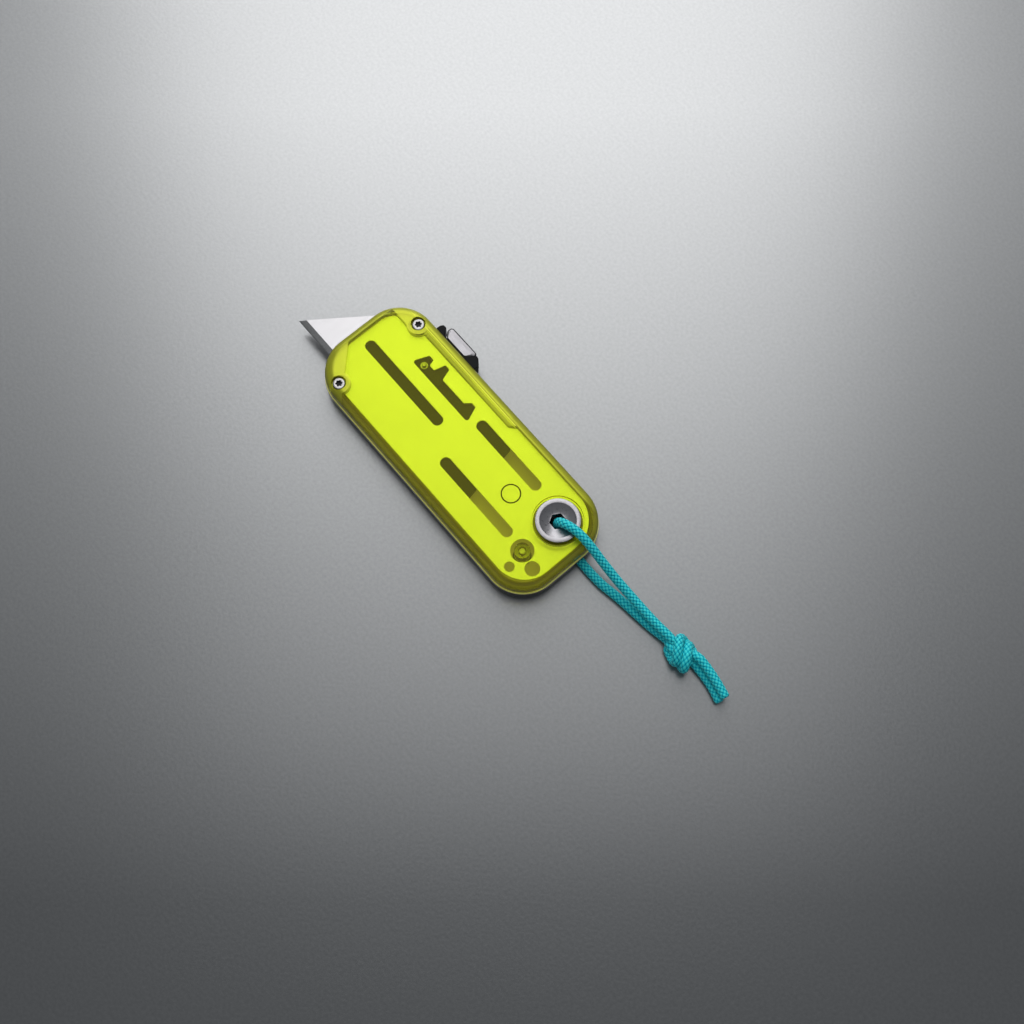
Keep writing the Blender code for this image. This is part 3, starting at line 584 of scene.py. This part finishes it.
def translucent_shell(name, straight_share, painted_shade_scale):
    """Tinted clear plastic: light passes straight through flat faces and is bent on the slopes, which get
    painted shade.
    """
    material, tree = new_material(name)
    grain = object_noise(tree, 1800.0, 3.0)
    surface = bump(tree, grain, 0.08, 0.02)
    facing = node(tree, "NewGeometry").outputs["Normal"]
    upward = node(tree, "SeparateXYZ", {"Vector": facing}).outputs["Z"]
    flat = without_sign(tree, upward)

    # Every colour is scaled by painted_shade_scale: 1 for the front shell, near black painted shade for the
    # back shell
    steep_painted_shade_colour = tuple(channel * painted_shade_scale for channel in SHELL_STEEP_PAINTED_SHADE)
    shallow_colour = tuple(channel * painted_shade_scale for channel in SHELL_SHALLOW)
    dye_scaled_for_painted_shade = tuple(channel * painted_shade_scale for channel in SHELL_DYE)
    # Steeper slopes get a darker tint and a smaller milky share: painted shade
    glass = node(tree, "BsdfPrincipled", {
        "Base Color": mixed_colour(tree, rising(tree, flat, 0.55, 0.98), steep_painted_shade_colour, shallow_colour),
        "Roughness": ramp_value(tree, grain, 0.14, 0.20),
        "IOR": 1.49,
        "Transmission Weight": 1.0,
        "Specular IOR Level": 0.15,
        "Normal": surface,
    }).outputs["BSDF"]
    milky = node(tree, "BsdfPrincipled", {
        "Base Color": (*dye_scaled_for_painted_shade, 1), "Roughness": 0.35, "Specular IOR Level": 0.3, "Normal": surface,
    }).outputs["BSDF"]
    sloped = mixed_shader(tree, rising(tree, flat, 0.1, 0.85, 0.03, 0.36), glass, milky)

    through = node(tree, "BsdfTransparent", {"Color": (*SHELL_TINT, 1)}).outputs["BSDF"]
    clear = mixed_shader(tree, 0.09, through, milky)
    share = rising(tree, flat, 0.80, 0.98, 0.0, straight_share)
    shell = mixed_shader(tree, share, sloped, clear)

    # Painted highlight: a bright metallic coat that the mask lays on parts of the front shell, stronger on
    # faces turned up
    painted_highlight_coat = node(tree, "BsdfPrincipled", {
        "Base Color": (*SHELL_PAINTED_HIGHLIGHT, 1), "Metallic": 0.75, "Roughness": 0.42, "Normal": surface,
    }).outputs["BSDF"]
    glow = product(tree, painted_highlight_mask(tree), rising(tree, upward, 0.1, 0.8, 0.35, 1.0))
    finish_material(tree, mixed_shader(tree, glow, shell, painted_highlight_coat))
    return material


def painted_highlight_mask(tree):
    """How much painted highlight the front shell gets where it is solid: beyond the liner and over the bay.
    """
    place = node(tree, "TexCoord").outputs["Object"]
    place = node(tree, "VectorMath", {0: place, "Scale": 1 / MM}, operation="SCALE").outputs["Vector"]
    axes = node(tree, "SeparateXYZ", {"Vector": place}).outputs
    x, y = axes["X"], axes["Y"]
    total = combine_values(tree, "ADD", x, y)
    difference = combine_values(tree, "SUBTRACT", x, y)

    beside_y = rising(tree, y, *GLOW_BESIDE_LINER_Y)
    beside_x = rising(tree, x, *GLOW_BESIDE_LINER_X)
    front = largest(tree, rising(tree, x, *GLOW_BEYOND_LINER_X), product(tree, beside_y, beside_x))
    front = largest(tree, rising(tree, total, *GLOW_CUT_CORNER_SUM), front)
    flat_place = node(tree, "CombineXYZ", {"X": x, "Y": y}).outputs["Vector"]
    for screw_place in SCREW_PLACES.values():
        middle = node(tree, "CombineXYZ", {"X": screw_place[0], "Y": screw_place[1]}).outputs["Vector"]
        reach = node(tree, "VectorMath", {0: flat_place, 1: middle}, operation="DISTANCE").outputs["Value"]
        front = largest(tree, front, rising(tree, reach, *GLOW_SCREW_REACH))

    over_bay = product(tree, rising(tree, y, *GLOW_BAY_Y), rising(tree, difference, *GLOW_BAY_DIFFERENCE))
    from_line = without_sign(tree, combine_values(tree, "SUBTRACT", y, GLOW_LINE_Y))
    line = rising(tree, from_line, *GLOW_LINE_REACH, 0.0, LINE_GLOW)
    bay = product(tree, over_bay, largest(tree, line, BAY_GLOW))
    far_slope = rising(tree, y, *GLOW_FAR_SLOPE_Y, 0.0, FAR_SLOPE_GLOW)
    rear_corner = rising(tree, product(tree, total, -1.0), *GLOW_REAR_CORNER_SUM, 0.0, FAR_SLOPE_GLOW)
    sides = largest(tree, bay, largest(tree, far_slope, rear_corner))
    return largest(tree, product(tree, front, CORNER_GLOW), sides)


def cord_material():
    """Dyed teal braid with painted shade between the strands and painted highlight on their crowns, with fine
    fibres.
    """
    material, tree = new_material("cord_teal")
    height = node(tree, "Attribute", attribute_name="braid").outputs["Fac"]
    fibre = object_noise(tree, 6000.0, 2.0)
    base = node(tree, "ValToRGB", {"Fac": height})
    ramp = base.color_ramp
    ramp.elements[0].position = 0.12
    ramp.elements[0].color = BRAID_GROOVE_PAINTED_SHADE
    ramp.elements[1].position = 0.90
    ramp.elements[1].color = BRAID_CROWN_PAINTED_HIGHLIGHT
    middle = ramp.elements.new(0.5)
    middle.color = BRAID_FLANK_COLOUR
    shader = node(tree, "BsdfPrincipled", {
        "Base Color": base.outputs["Color"],
        "Roughness": ramp_value(tree, fibre, 0.22, 0.36),
        "Specular IOR Level": 0.7,
        "Specular Tint": (0.05, 1.0, 1.0, 1),
        "Normal": bump(tree, fibre, 0.25, 0.05),
    })
    finish_material(tree, shader.outputs["BSDF"])
    return material


def floor_material():
    """A pale sheet with a very fine grain, with painted shade on the near side grading to painted light at
    the far side.
    """
    material, tree = new_material("floor_grey")
    grain = object_noise(tree, 1200.0, 5.0)
    place = node(tree, "TexCoord").outputs["Object"]
    away = node(tree, "VectorMath", {0: place, 1: FLOOR_AWAY}, operation="DOT_PRODUCT").outputs["Value"]
    # Darker on the near side and lighter on the far side: painted shade and painted light
    painted_light_grade = rising(tree, away, *FLOOR_GRADE_M)
    near = mixed_colour(tree, grain, *FLOOR_NEAR)
    far = mixed_colour(tree, grain, *FLOOR_FAR)
    shader = node(tree, "BsdfPrincipled", {
        "Base Color": mixed_colour(tree, painted_light_grade, near, far),
        "Roughness": 0.30,
        "Metallic": 0.45,
        "Normal": bump(tree, grain, 0.35, 0.05),
    })
    finish_material(tree, shader.outputs["BSDF"])
    return material


# ---------------------------------------------------------------- stage


def make_camera():
    data = bpy.data.cameras.new("camera")
    data.lens = CAMERA_LENS
    data.clip_start = 0.01
    camera = bpy.data.objects.new("camera", data)
    bpy.context.scene.collection.objects.link(camera)
    camera.location = Vector(CAMERA_PLACE) * MM
    direction = (Vector(CAMERA_AIM) - Vector(CAMERA_PLACE)).normalized()
    camera.rotation_euler = direction.to_track_quat("-Z", "Y").to_euler()
    bpy.context.scene.camera = camera


def area_light(name, place, size, power):
    data = bpy.data.lights.new(name, "AREA")
    data.shape = "RECTANGLE"
    data.size, data.size_y = size
    data.energy = power
    light = bpy.data.objects.new(name, data)
    bpy.context.scene.collection.objects.link(light)
    light.location = place
    light.rotation_euler = (Vector(LIGHT_AIM_M) - Vector(place)).to_track_quat("-Z", "Y").to_euler()


def make_lights():
    """A tall soft box beyond the blade end of the knife, a weak one overhead, and a dim room."""
    area_light("key", *KEY_LIGHT)
    area_light("overhead", *OVERHEAD_LIGHT)
    world = bpy.data.worlds.new("room")
    bpy.context.scene.world = world
    world.use_nodes = True
    background = world.node_tree.nodes["Background"]
    background.inputs["Color"].default_value = ROOM_COLOUR
    background.inputs["Strength"].default_value = ROOM_STRENGTH


def make_floor():
    mesh = bpy.data.meshes.new("floor")
    plane = bmesh.new()
    bmesh.ops.create_grid(plane, x_segments=1, y_segments=1, size=FLOOR_HALF_SIZE_M)
    plane.to_mesh(mesh)
    plane.free()
    floor = bpy.data.objects.new("floor", mesh)
    bpy.context.scene.collection.objects.link(floor)
    floor.location.z = -FLOOR_DROP * MM
    mesh.materials.append(floor_material())


# ---------------------------------------------------------------- lanyard


def smooth_route(points, spacing):
    """Points about evenly spaced on a Catmull-Rom curve through the route's own points."""
    route = [Vector(point) for point in points]
    route = [2 * route[0] - route[1], *route, 2 * route[-1] - route[-2]]
    dense = []
    for p0, p1, p2, p3 in zip(route, route[1:], route[2:], route[3:]):
        for step in range(12):
            t = step / 12
            square = (2 * p0 - 5 * p1 + 4 * p2 - p3) * t**2
            cube = (3 * p1 - p0 - 3 * p2 + p3) * t**3
            dense.append(0.5 * (2 * p1 + (p2 - p0) * t + square + cube))
    dense.append(route[-2])
    return resampled(dense, spacing)


def resampled(points, spacing):
    lengths = [0.0]
    for a, b in zip(points, points[1:]):
        lengths.append(lengths[-1] + (b - a).length)
    count = max(4, round(lengths[-1] / spacing) + 1)
    result, upper = [], 1
    for index in range(count):
        target = lengths[-1] * index / (count - 1)
        while upper < len(lengths) - 1 and lengths[upper] < target:
            upper += 1
        share = (target - lengths[upper - 1]) / (lengths[upper] - lengths[upper - 1])
        result.append(points[upper - 1].lerp(points[upper], share))
    return result


def braid_height(around, along):
    """Height of a plain braid of two crossing families of strands, from 0 in a groove to 1 on a crown."""
    first = BRAID_STRANDS * around + along / BRAID_PITCH
    second = BRAID_STRANDS * around - along / BRAID_PITCH
    if (math.floor(first) + math.floor(second)) % 2:
        first, second = second, first
    across = 2 * (first - math.floor(first)) - 1
    lengthwise = 2 * (second - math.floor(second)) - 1
    return math.sqrt(max(0.0, 1 - across**2)) * (1 - 0.45 * lengthwise**2)


def braided_surface(centreline, diameter):
    """The points of a tube along a centreline, ring by ring, and the braid's height at each of them."""
    radius = diameter / 2
    tangent = (centreline[1] - centreline[0]).normalized()
    side = tangent.orthogonal().normalized()
    points, heights, travelled = [], [], 0.0
    total = sum((b - a).length for a, b in zip(centreline, centreline[1:]))
    for index, middle in enumerate(centreline):
        before = centreline[max(index - 1, 0)]
        after = centreline[min(index + 1, len(centreline) - 1)]
        if index:
            travelled += (middle - centreline[index - 1]).length
        tangent = (after - before).normalized()
        side = (side - tangent * side.dot(tangent)).normalized()
        other = tangent.cross(side)
        to_end = max(min(total - travelled, CORD_END_ROUND), 0.0) / CORD_END_ROUND
        taper = math.sqrt(1 - 0.6 * (1 - to_end) ** 2)
        for step in range(CORD_STEPS):
            around = step / CORD_STEPS
            height = braid_height(around, travelled)
            reach = (radius - BRAID_RELIEF * (1 - height)) * taper
            angle = 2 * math.pi * around
            points.append((middle + (side * math.cos(angle) + other * math.sin(angle)) * reach) * MM)
            heights.append(height)
    return points, heights


def braided_tube(centreline, diameter):
    """A tube mesh whose surface carries the braid, with a melted, rounded end."""
    points, heights = braided_surface(centreline, diameter)
    mesh = bpy.data.meshes.new("braided_tube")
    mesh.from_pydata(points, [], ring_faces(len(centreline), CORD_STEPS))
    braid = mesh.attributes.new("braid", "FLOAT", "POINT")
    for index, height in enumerate(heights):
        braid.data[index].value = height
    mesh.shade_smooth()
    return mesh


def make_lanyard():
    material = cord_material()
    strands = (
        ("upper", [*UPPER_LEG[:-1], *UPPER_KNOT, *UPPER_TAIL], 8.0, ("upper_leg", "knot", "upper_tail")),
        ("lower", [*LOWER_LEG[:-1], *LOWER_KNOT, *LOWER_TAIL], 4.0, ("lower_leg", "lower_tail")),
    )
    for side, route, exit_z, parts in strands:
        name = f"lanyard_{side}_strand"
        nodes = ["cord_" + part for part in parts]
        centreline = smooth_route(route, CORD_STEP)
        piece = add_piece(name, braided_tube(centreline, CORD_DIAMETER), material, "handle", nodes)


# ---------------------------------------------------------------- handle


def body_outline(inset):
    low, high = low_mm("front_shell"), high_mm("front_shell")
    return rounded_outline([
        (high.x - inset, low.y + inset, CORNER_RADII["front_slider"] - inset),
        (high.x - inset, high.y - inset, CORNER_RADII["front_edge"] - inset),
        (low.x + inset, high.y - inset, CORNER_RADII["rear_edge"] - inset),
        (low.x + inset, low.y + inset, CORNER_RADII["rear_slider"] - inset),
    ], CORNER_STEPS)


def shell_tray(parting_z, face_z, set_back=0.0):
    """A hollow tray: over the rounded outer edge, and back along the inside of the wall."""
    sign = 1 if face_z > parting_z else -1
    inner_radius = EDGE_RADIUS - WALL
    quarter = [math.radians(90 * step / 10) for step in range(11)]
    outer = [(0.1, parting_z), (0.0, parting_z + 0.1 * sign)]
    for angle in quarter:
        outer.append((
            EDGE_RADIUS * (1 - math.cos(angle)), face_z - sign * EDGE_RADIUS * (1 - math.sin(angle)),
        ))
    inner = [(WALL, parting_z)]
    for angle in quarter:
        inner.append((
            WALL + inner_radius * (1 - math.cos(angle)),
            face_z - sign * (WALL + inner_radius * (1 - math.sin(angle))),
        ))
    rings = []
    for inset, z in [*reversed(inner), *outer]:
        rings.append([(x, y, z) for x, y in body_outline(inset + set_back)])
    return lofted(rings)


def bosses(z_range, eyelet_radius, eyelet_z_range):
    """Steps that add a boss round each screw, the locating pin and the eyelet."""
    steps = [("UNION", cylinder(place, SCREW_BOSS_RADIUS, z_range)) for place in SCREW_PLACES.values()]
    steps.append(("UNION", cylinder(PIN_PLACE, PIN_BOSS_RADIUS, z_range)))
    steps.append(("UNION", cylinder(EYELET, eyelet_radius, eyelet_z_range)))
    return steps


def stepped_bore(centre, seat_radius, bore_radius, seat_z, z_from, z_to):
    """A step that cuts a wide seat from one height to seat_z and a narrower bore from there on."""
    profile = [(seat_radius, z_from), (seat_radius, seat_z), (bore_radius, seat_z), (bore_radius, z_to)]
    return "DIFFERENCE", turned(profile, centre)


def make_front_shell(material):
    low, high = low_mm("front_shell").z, high_mm("front_shell").z
    boss_z = (low, high - BOSS_DEPTH)
    steps = bosses(boss_z, EYELET_BOSS_RADIUS, boss_z)
    for place in SCREW_PLACES.values():
        steps.append(stepped_bore(
            place, SCREW_SEAT_RADIUS, SCREW_BORE_RADIUS, SCREW_HEAD_LOW_Z - GAP, CUT_ABOVE_Z, CUT_INSIDE_Z,
        ))
    steps.append(("DIFFERENCE", cylinder(PIN_PLACE, PIN_BORE_RADIUS, PIN_BORE_Z)))
    steps.append(stepped_bore(
        EYELET, EYELET_SEAT_RADIUS, EYELET_BORE_RADIUS, EYELET_SEAT_Z, CUT_ABOVE_Z, CUT_INSIDE_Z,
    ))
    front = combined(shell_tray(low, high, PARTING_LEDGE), [*steps, *handle_cuts()])
    add_piece("front_shell_clear", softened(front, 0.12), material, "handle", ["front_shell"])


def make_back_shell(material, rim_highlight_material):
    """The back shell, whose rim at the parting line is coloured pale and opaque as a painted highlight."""
    high = high_mm("back_shell").z
    steps = bosses((BOSS_DEPTH, high), NUT_BOSS_RADIUS, (NUT_BOSS_LOW_Z, high))
    for place in SCREW_PLACES.values():
        steps.append(("DIFFERENCE", cylinder(place, INSERT_BORE_RADIUS, INSERT_BORE_Z)))
    profile = [
        (EYELET_BORE_RADIUS, 6), (EYELET_BORE_RADIUS, NUT_SEAT_Z), (NUT_SEAT_RADIUS, NUT_SEAT_Z),
        (NUT_SEAT_RADIUS, CUT_BELOW_Z),
    ]
    steps.append(("DIFFERENCE", turned(profile, EYELET)))
    steps = [*steps, *handle_cuts(), ("DIFFERENCE", groove())]
    back = softened(combined(shell_tray(high, 0.0), steps), 0.05)
    add_piece("back_shell_clear", back, material, "handle", ["back_shell"])
    back.materials.append(rim_highlight_material)
    # The rim's upward faces get the pale painted highlight
    for face in back.polygons:
        if face.center.z / MM > high - 0.11 and face.normal.z > 0.3:
            face.material_index = 1


def handle_cuts():
    """Steps for the button's slot and the blade's mouth, which both shells share."""
    button_low, button_high = low_mm("slider_button"), high_mm("slider_button")
    slot = block(
        (button_low.x - frame_travel() - GAP, SLOT_Y[0], button_low.z - GAP),
        (button_high.x + GAP, SLOT_Y[1], button_high.z + GAP),
    )
    blade_low, blade_high = low_mm("blade"), high_mm("blade")
    mouth = block(
        (MOUTH_X[0], blade_low.y - MOUTH_SIDE_GAP, blade_low.z - MOUTH_FACE_GAP),
        (MOUTH_X[1], blade_high.y + MOUTH_SIDE_GAP, blade_high.z + MOUTH_FACE_GAP),
    )
    return [("DIFFERENCE", slot), ("DIFFERENCE", mouth)]


def frame_travel():
    """The carriage's travel in millimetres, from the frame's joints."""
    slide = next(joint for joint in frame["joints"] if joint["name"] == "blade_slide")
    return max(slide["range_m"]) / MM


def groove():
    """The channel in the back face in which the lower cord run lies."""
    direction = Vector((math.cos(GROOVE_SLOPE), math.sin(GROOVE_SLOPE)))
    across = Vector((-direction.y, direction.x)) * GROOVE_WIDTH / 2
    near = Vector(EYELET)
    far = near + direction * (GROOVE_END_X - near.x)
    ring = [near + across, far + across, far - across, near - across]
    return lofted([[(x, y, z) for x, y in ring] for z in (CUT_BELOW_Z, GROOVE_TOP_Z)])


def liner_outline():
    """The front liner's edge, with both front corners cut off and a bay for the slider."""
    low, high = low_mm("front_liner"), high_mm("front_liner")
    bay_y = -11.8
    return rounded_outline([
        (high.x, -7.0, 1.5), (37.2, -9.9, 1.5), (31.4, -9.9, 0), (31.4, bay_y, 0), (-4.9, bay_y, 1.2),
        (-6.6, low.y, 1.0), (low.x, low.y, CORNER_RADII["rear_slider"] - WALL),
        (low.x, high.y, CORNER_RADII["rear_edge"] - WALL), (29.0, high.y, 0), (33.2, 9.9, 0),
        (high.x, 4.5, 2.5),
    ], 16)


def detent_window():
    """The window with the notches in which the detent pin holds the blade."""
    return rounded_outline([
        (24.7, -5.0, 0.7), (22.9, -9.3, 0.4), (21.3, -9.3, 0.4), (20.8, -7.6, 0.4), (19.1, -7.6, 0.4),
        (18.3, -10.7, 0.5), (16.7, -10.7, 0.5), (15.7, -7.6, 0.4), (7.4, -7.6, 0.5), (6.1, -9.2, 0.5),
        (4.7, -9.2, 0.5), (2.9, -5.0, 0.7),
    ], 6)


def make_front_liner(material):
    windows = [
        slot_outline(6.8, 36.1, -1.2, 1.8, 1.45),
        slot_outline(-22.0, 1.2, -8.7, -5.7, 1.45),
        slot_outline(-26.5, -0.4, 4.4, 7.4, 1.45),
        detent_window(),
        circle_outline(PIN_PLACE, BOSS_WINDOW_RADIUS),
        circle_outline((-36.2, 7.3), 1.9),
        circle_outline((-32.2, 11.2), 1.3),
        circle_outline(EYELET, EYELET_WINDOW_RADIUS),
    ]
    z_range = (low_mm("front_liner").z, high_mm("front_liner").z)
    cuts = []
    for place in SCREW_PLACES.values():
        cuts.append(("DIFFERENCE", cylinder(place, BOSS_WINDOW_RADIUS, (z_range[0] - 1, CUT_ABOVE_Z))))
    liner = combined(plate([liner_outline(), *windows], z_range), cuts)
    add_piece("front_liner_plate", softened(liner, 0.07), material, "handle", ["front_liner"])


def make_ring_print(material):
    """A plain printed ring on the liner."""
    top = high_mm("front_liner").z
    rings = [circle_outline(RING_PLACE, radius) for radius in RING_RADII]
    add_piece("liner_ring_print", plate(rings, (top + 0.005, top + 0.025)), material, "handle")


# ---------------------------------------------------------------- steel pieces


def six_lobe_recess(centre, radius, z_range):
    """The cutter for a socket with six rounded lobes."""
    steps, lobe_depth = 72, 0.14
    points = []
    for step in range(steps):
        angle = 2 * math.pi * step / steps
        reach = radius * (1 - lobe_depth + lobe_depth * math.cos(6 * angle))
        points.append((centre[0] + reach * math.cos(angle), centre[1] + reach * math.sin(angle)))
    return lofted([[(x, y, z) for x, y in points] for z in z_range])


def make_screws(material, recess_shade_material):
    """The two cover screws, whose sockets are painted darker than their heads as painted shade."""
    head_radius, shank_radius, socket_radius, socket_depth = 1.6, 0.95, 0.92, 0.7
    for corner, place in SCREW_PLACES.items():
        node_name = "screw_" + corner
        low, top = low_mm(node_name).z, high_mm(node_name).z
        profile = [
            (0, top - 0.02), (1.05, top - 0.02), (1.35, top), (1.52, top - 0.08), (head_radius, top - 0.25),
            (head_radius, SCREW_HEAD_LOW_Z), (shank_radius, SCREW_HEAD_LOW_Z), (shank_radius, low), (0, low),
        ]
        recess = six_lobe_recess(place, socket_radius, (top - socket_depth, CUT_ABOVE_Z))
        head = softened(combined(turned(profile, place), [("DIFFERENCE", recess)]), 0.04)
        add_piece(node_name + "_polished", head, material, "handle", [node_name])
        head.materials.append(recess_shade_material)
        # Faces inside the socket get the near-black painted shade
        for face in head.polygons:
            sideways = Vector(face.center[:2]) / MM - Vector(place)
            if sideways.length < shank_radius and face.center.z / MM < top - 0.08:
                face.material_index = 1


def make_eyelet(material):
    """The hollow bolt: a dished head round a hexagon socket that goes right through."""
    top, low = high_mm("eyelet_bolt").z, low_mm("eyelet_bolt").z
    inner, outer = BOLT_DISH_RADII
    rise = top - 0.12 - BOLT_DISH_LOW_Z
    profile = [(0, BOLT_DISH_LOW_Z)]
    for step in range(13):
        share = step / 12
        profile.append((inner + (outer - inner) * share, BOLT_DISH_LOW_Z + rise * share**1.25))
    profile += [
        (4.5, top - 0.03), (4.65, top), (5.35, top), (5.55, top - 0.06), (5.65, top - 0.25), (5.65, 8.6),
        (3.9, 8.6), (2.95, 7.6), (2.95, low), (0, low),
    ]
    socket_radius = BOLT_SOCKET_FLATS / 2 / math.cos(math.radians(30))
    socket = cylinder(EYELET, socket_radius, (0, CUT_ABOVE_Z), 6)
    bolt = combined(turned(profile, EYELET), [("DIFFERENCE", socket)])
    add_piece("eyelet_bolt_polished", softened(bolt, 0.06), material, "handle", ["eyelet_bolt"])


def blade_section():
    """The blade's (y, z) section, with its ground and its fine edge bevels."""
    low, high = low_mm("blade"), high_mm("blade")
    middle = (low.z + high.z) / 2
    ground_y, fine_y = high.y - BLADE_BEVEL, high.y - BLADE_MICRO_BEVEL
    return [
        (low.y - 1, low.z), (ground_y, low.z), (fine_y, middle - 0.09), (high.y, middle - 0.01),
        (high.y, middle + 0.01), (fine_y, middle + 0.09), (ground_y, high.z), (low.y - 1, high.z),
    ]


def blade_outline():
    """The trapezoid with its two notches."""
    low, high = low_mm("blade"), high_mm("blade")
    outline = [Vector((high.x, high.y)), Vector((low.x, high.y)), Vector((low.x + BLADE_END_RUN, low.y))]
    middle = (low.x + high.x) / 2
    for notch_x in (middle - BLADE_NOTCH_SPACING / 2, middle + BLADE_NOTCH_SPACING / 2):
        for step in range(17):
            angle = math.pi * (1 - step / 16)
            x = notch_x + BLADE_NOTCH_RADIUS * math.cos(angle)
            outline.append(Vector((x, low.y + BLADE_NOTCH_RADIUS * math.sin(angle))))
    outline.append(Vector((high.x - BLADE_END_RUN, low.y)))
    return outline


def make_blade(material):
    low, high = low_mm("blade"), high_mm("blade")
    strip = lofted([[(x, y, z) for y, z in blade_section()] for x in (low.x - 1, high.x + 1)])
    trapezoid = plate([blade_outline()], (low.z - 1, high.z + 1))
    blade = combined(strip, [("INTERSECT", trapezoid)])
    add_piece("blade_ground", softened(blade, 0.0, angle=3.0), material, "carriage", ["blade"])


def button_outline():
    """The button seen from the front: its foot, a rear ear and a front ear with room for the pad between."""
    low, high = low_mm("slider_button"), high_mm("slider_button")
    return rounded_outline([
        (high.x, BUTTON_FOOT_Y, 0.3), (high.x, BUTTON_SIDE_Y - 0.6, 0.8), (high.x - 0.5, -17.6, 0.6),
        (26.3, -17.6, 0.4), (24.9, BUTTON_SIDE_Y + 0.3, 0.3), (17.2, BUTTON_SIDE_Y + 0.3, 0.3),
        (15.2, -18.5, 0.4), (14.4, -18.3, 0.6), (low.x, BUTTON_SIDE_Y - 0.8, 0.8),
        (low.x, BUTTON_FOOT_Y, 0.3),
    ])


def pin_arm_outline():
    """The thin arm that carries the detent pin inward from the button's foot."""
    return rounded_outline([
        (15.2, BUTTON_FOOT_Y - 0.5, 0), (20.0, BUTTON_FOOT_Y - 0.5, 0), (20.0, -8.8, 0.5),
        (22.95, -8.2, 0.8), (22.95, -5.7, 0.9), (15.2, -5.7, 0.8),
    ])


def make_button(material):
    low, high = low_mm("slider_button"), high_mm("slider_button")
    spring_low, spring_high = low_mm("button_spring"), high_mm("button_spring")
    spring_pocket = block(
        (spring_low.x - 0.2, spring_low.y - 0.9, low.z - 1.0),
        (spring_high.x + 0.2, BUTTON_FOOT_Y + 0.5, spring_high.z + 0.2),
    )
    pin_hole = cylinder(centre_mm("detent_pin"), DETENT_PIN_RADIUS, (0, CUT_ABOVE_Z))
    button = combined(plate([button_outline()], (low.z, high.z)), [
        ("UNION", plate([pin_arm_outline()], PIN_ARM_Z)),
        ("DIFFERENCE", pin_hole),
        ("DIFFERENCE", spring_pocket),
    ])
    button = softened(button, 0.25, 3)
    add_piece("slider_button_moulded", button, material, "button", ["slider_button"])


def make_pad(material, shoulder_shade_material):
    """The metal pad: a body whose shoulder is painted black as painted shade, and on it a smaller plate with
    a bevelled face.
    """
    low, high = low_mm("slider_pad"), high_mm("slider_pad")
    body = [
        (24.0, -15.9, 0.6), (25.5, -17.2, 0.6), (25.5, low.y, 0.8), (14.8, low.y, 0.7), (17.1, -15.9, 1.0),
    ]
    plate_edge = [
        (23.9, -15.95, 0.6), (25.2, -17.2, 0.5), (25.2, low.y + 0.3, 0.6), (15.4, low.y + 0.3, 0.5),
        (17.2, -15.95, 0.9),
    ]
    face = [
        (23.8, -16.1, 0.5), (24.8, -17.2, 0.4), (24.5, low.y + 1.1, 0.3), (16.4, low.y + 1.1, 0.3),
        (17.3, -16.1, 0.8),
    ]
    shoulder_z = high.z - PAD_SHOULDER
    bevel_z = high.z - PAD_BEVEL
    layers = (
        (body, low.z), (body, shoulder_z), (plate_edge, shoulder_z), (plate_edge, bevel_z), (face, high.z),
    )
    rings = []
    for corners, z in layers:
        rings.append([(x, y, z) for x, y in rounded_outline(corners)])
    pad = softened(lofted(rings), 0.0, angle=12.0)
    add_piece("slider_pad_metal", pad, material, "button", ["slider_pad"])
    pad.materials.append(shoulder_shade_material)
    # The shoulder's upward faces get black: painted shade round the plate
    for polygon in pad.polygons:
        if polygon.normal.z > 0.9 and polygon.center.z / MM < shoulder_z + 0.02:
            polygon.material_index = 1


def dress_cad_nodes(looks):
    """Give finished materials to the CAD pieces that keep their shape."""
    for material, names in looks:
        for name in names:
            obj = bpy.data.objects[name]
            for slot in obj.material_slots:
                slot.material = material


# ---------------------------------------------------------------- scene

bpy.context.scene.view_settings.view_transform = "Standard"
make_camera()
make_floor()
make_lights()
make_lanyard()

liner_steel = metal("liner_blasted_steel", (0.90, 0.89, 0.87), 0.42, grain=3000.0, bump_strength=0.25)
polished = metal("polished_steel", STEEL, 0.33, grain=1500.0, bump_strength=0.04)
eyelet_steel = metal("eyelet_turned_steel", (0.38, 0.37, 0.385), 0.31, grain=1500.0, bump_strength=0.04)
# Near-black painted shade for the screw sockets
recess_painted_shade_steel = metal("screw_recess_painted_shade", (0.035, 0.034, 0.035), 0.5)
blade_steel = ground_steel("blade_brushed_steel", (0.47, 0.46, 0.47), (0.30, 0.30, 0.305))
pad_steel = metal("pad_satin_metal", (0.33, 0.32, 0.335), 0.32, stretch=(0.2, 1, 1))
brass = metal("insert_brass", (0.62, 0.42, 0.16), 0.28)
spring_steel = metal("spring_steel", (0.45, 0.45, 0.47), 0.30)
black = plastic("black_moulded_plastic", (0.006, 0.006, 0.007), 0.5)

make_front_shell(translucent_shell("front_shell_plastic", 0.96, 1.0))
# The back shell is darkened almost to black as painted shade
make_back_shell(
    translucent_shell("back_shell_plastic", 0.0, BACK_PAINTED_SHADE_DEPTH),
    plastic("parting_rim_painted_highlight", (0.95, 0.90, 0.35), 0.30),
)
make_front_liner(liner_steel)
make_ring_print(black)
make_screws(polished, recess_painted_shade_steel)
make_eyelet(eyelet_steel)
make_blade(blade_steel)
make_button(black)
make_pad(pad_steel, black)
dress_cad_nodes([
    (blasted_steel("back_liner_blasted_steel", (0.62, 0.57, 0.50)), ["back_liner"]),
    (polished, ["eyelet_nut", "locating_pin", "carrier_rivet_front", "carrier_rivet_rear", "detent_pin"]),
    (black, ["blade_carrier", "carrier_cover", "lower_guide_rail", "upper_guide_rail"]),
    (brass, ["insert_front_top", "insert_front_bottom"]),
    (spring_steel, ["button_spring"]),
])
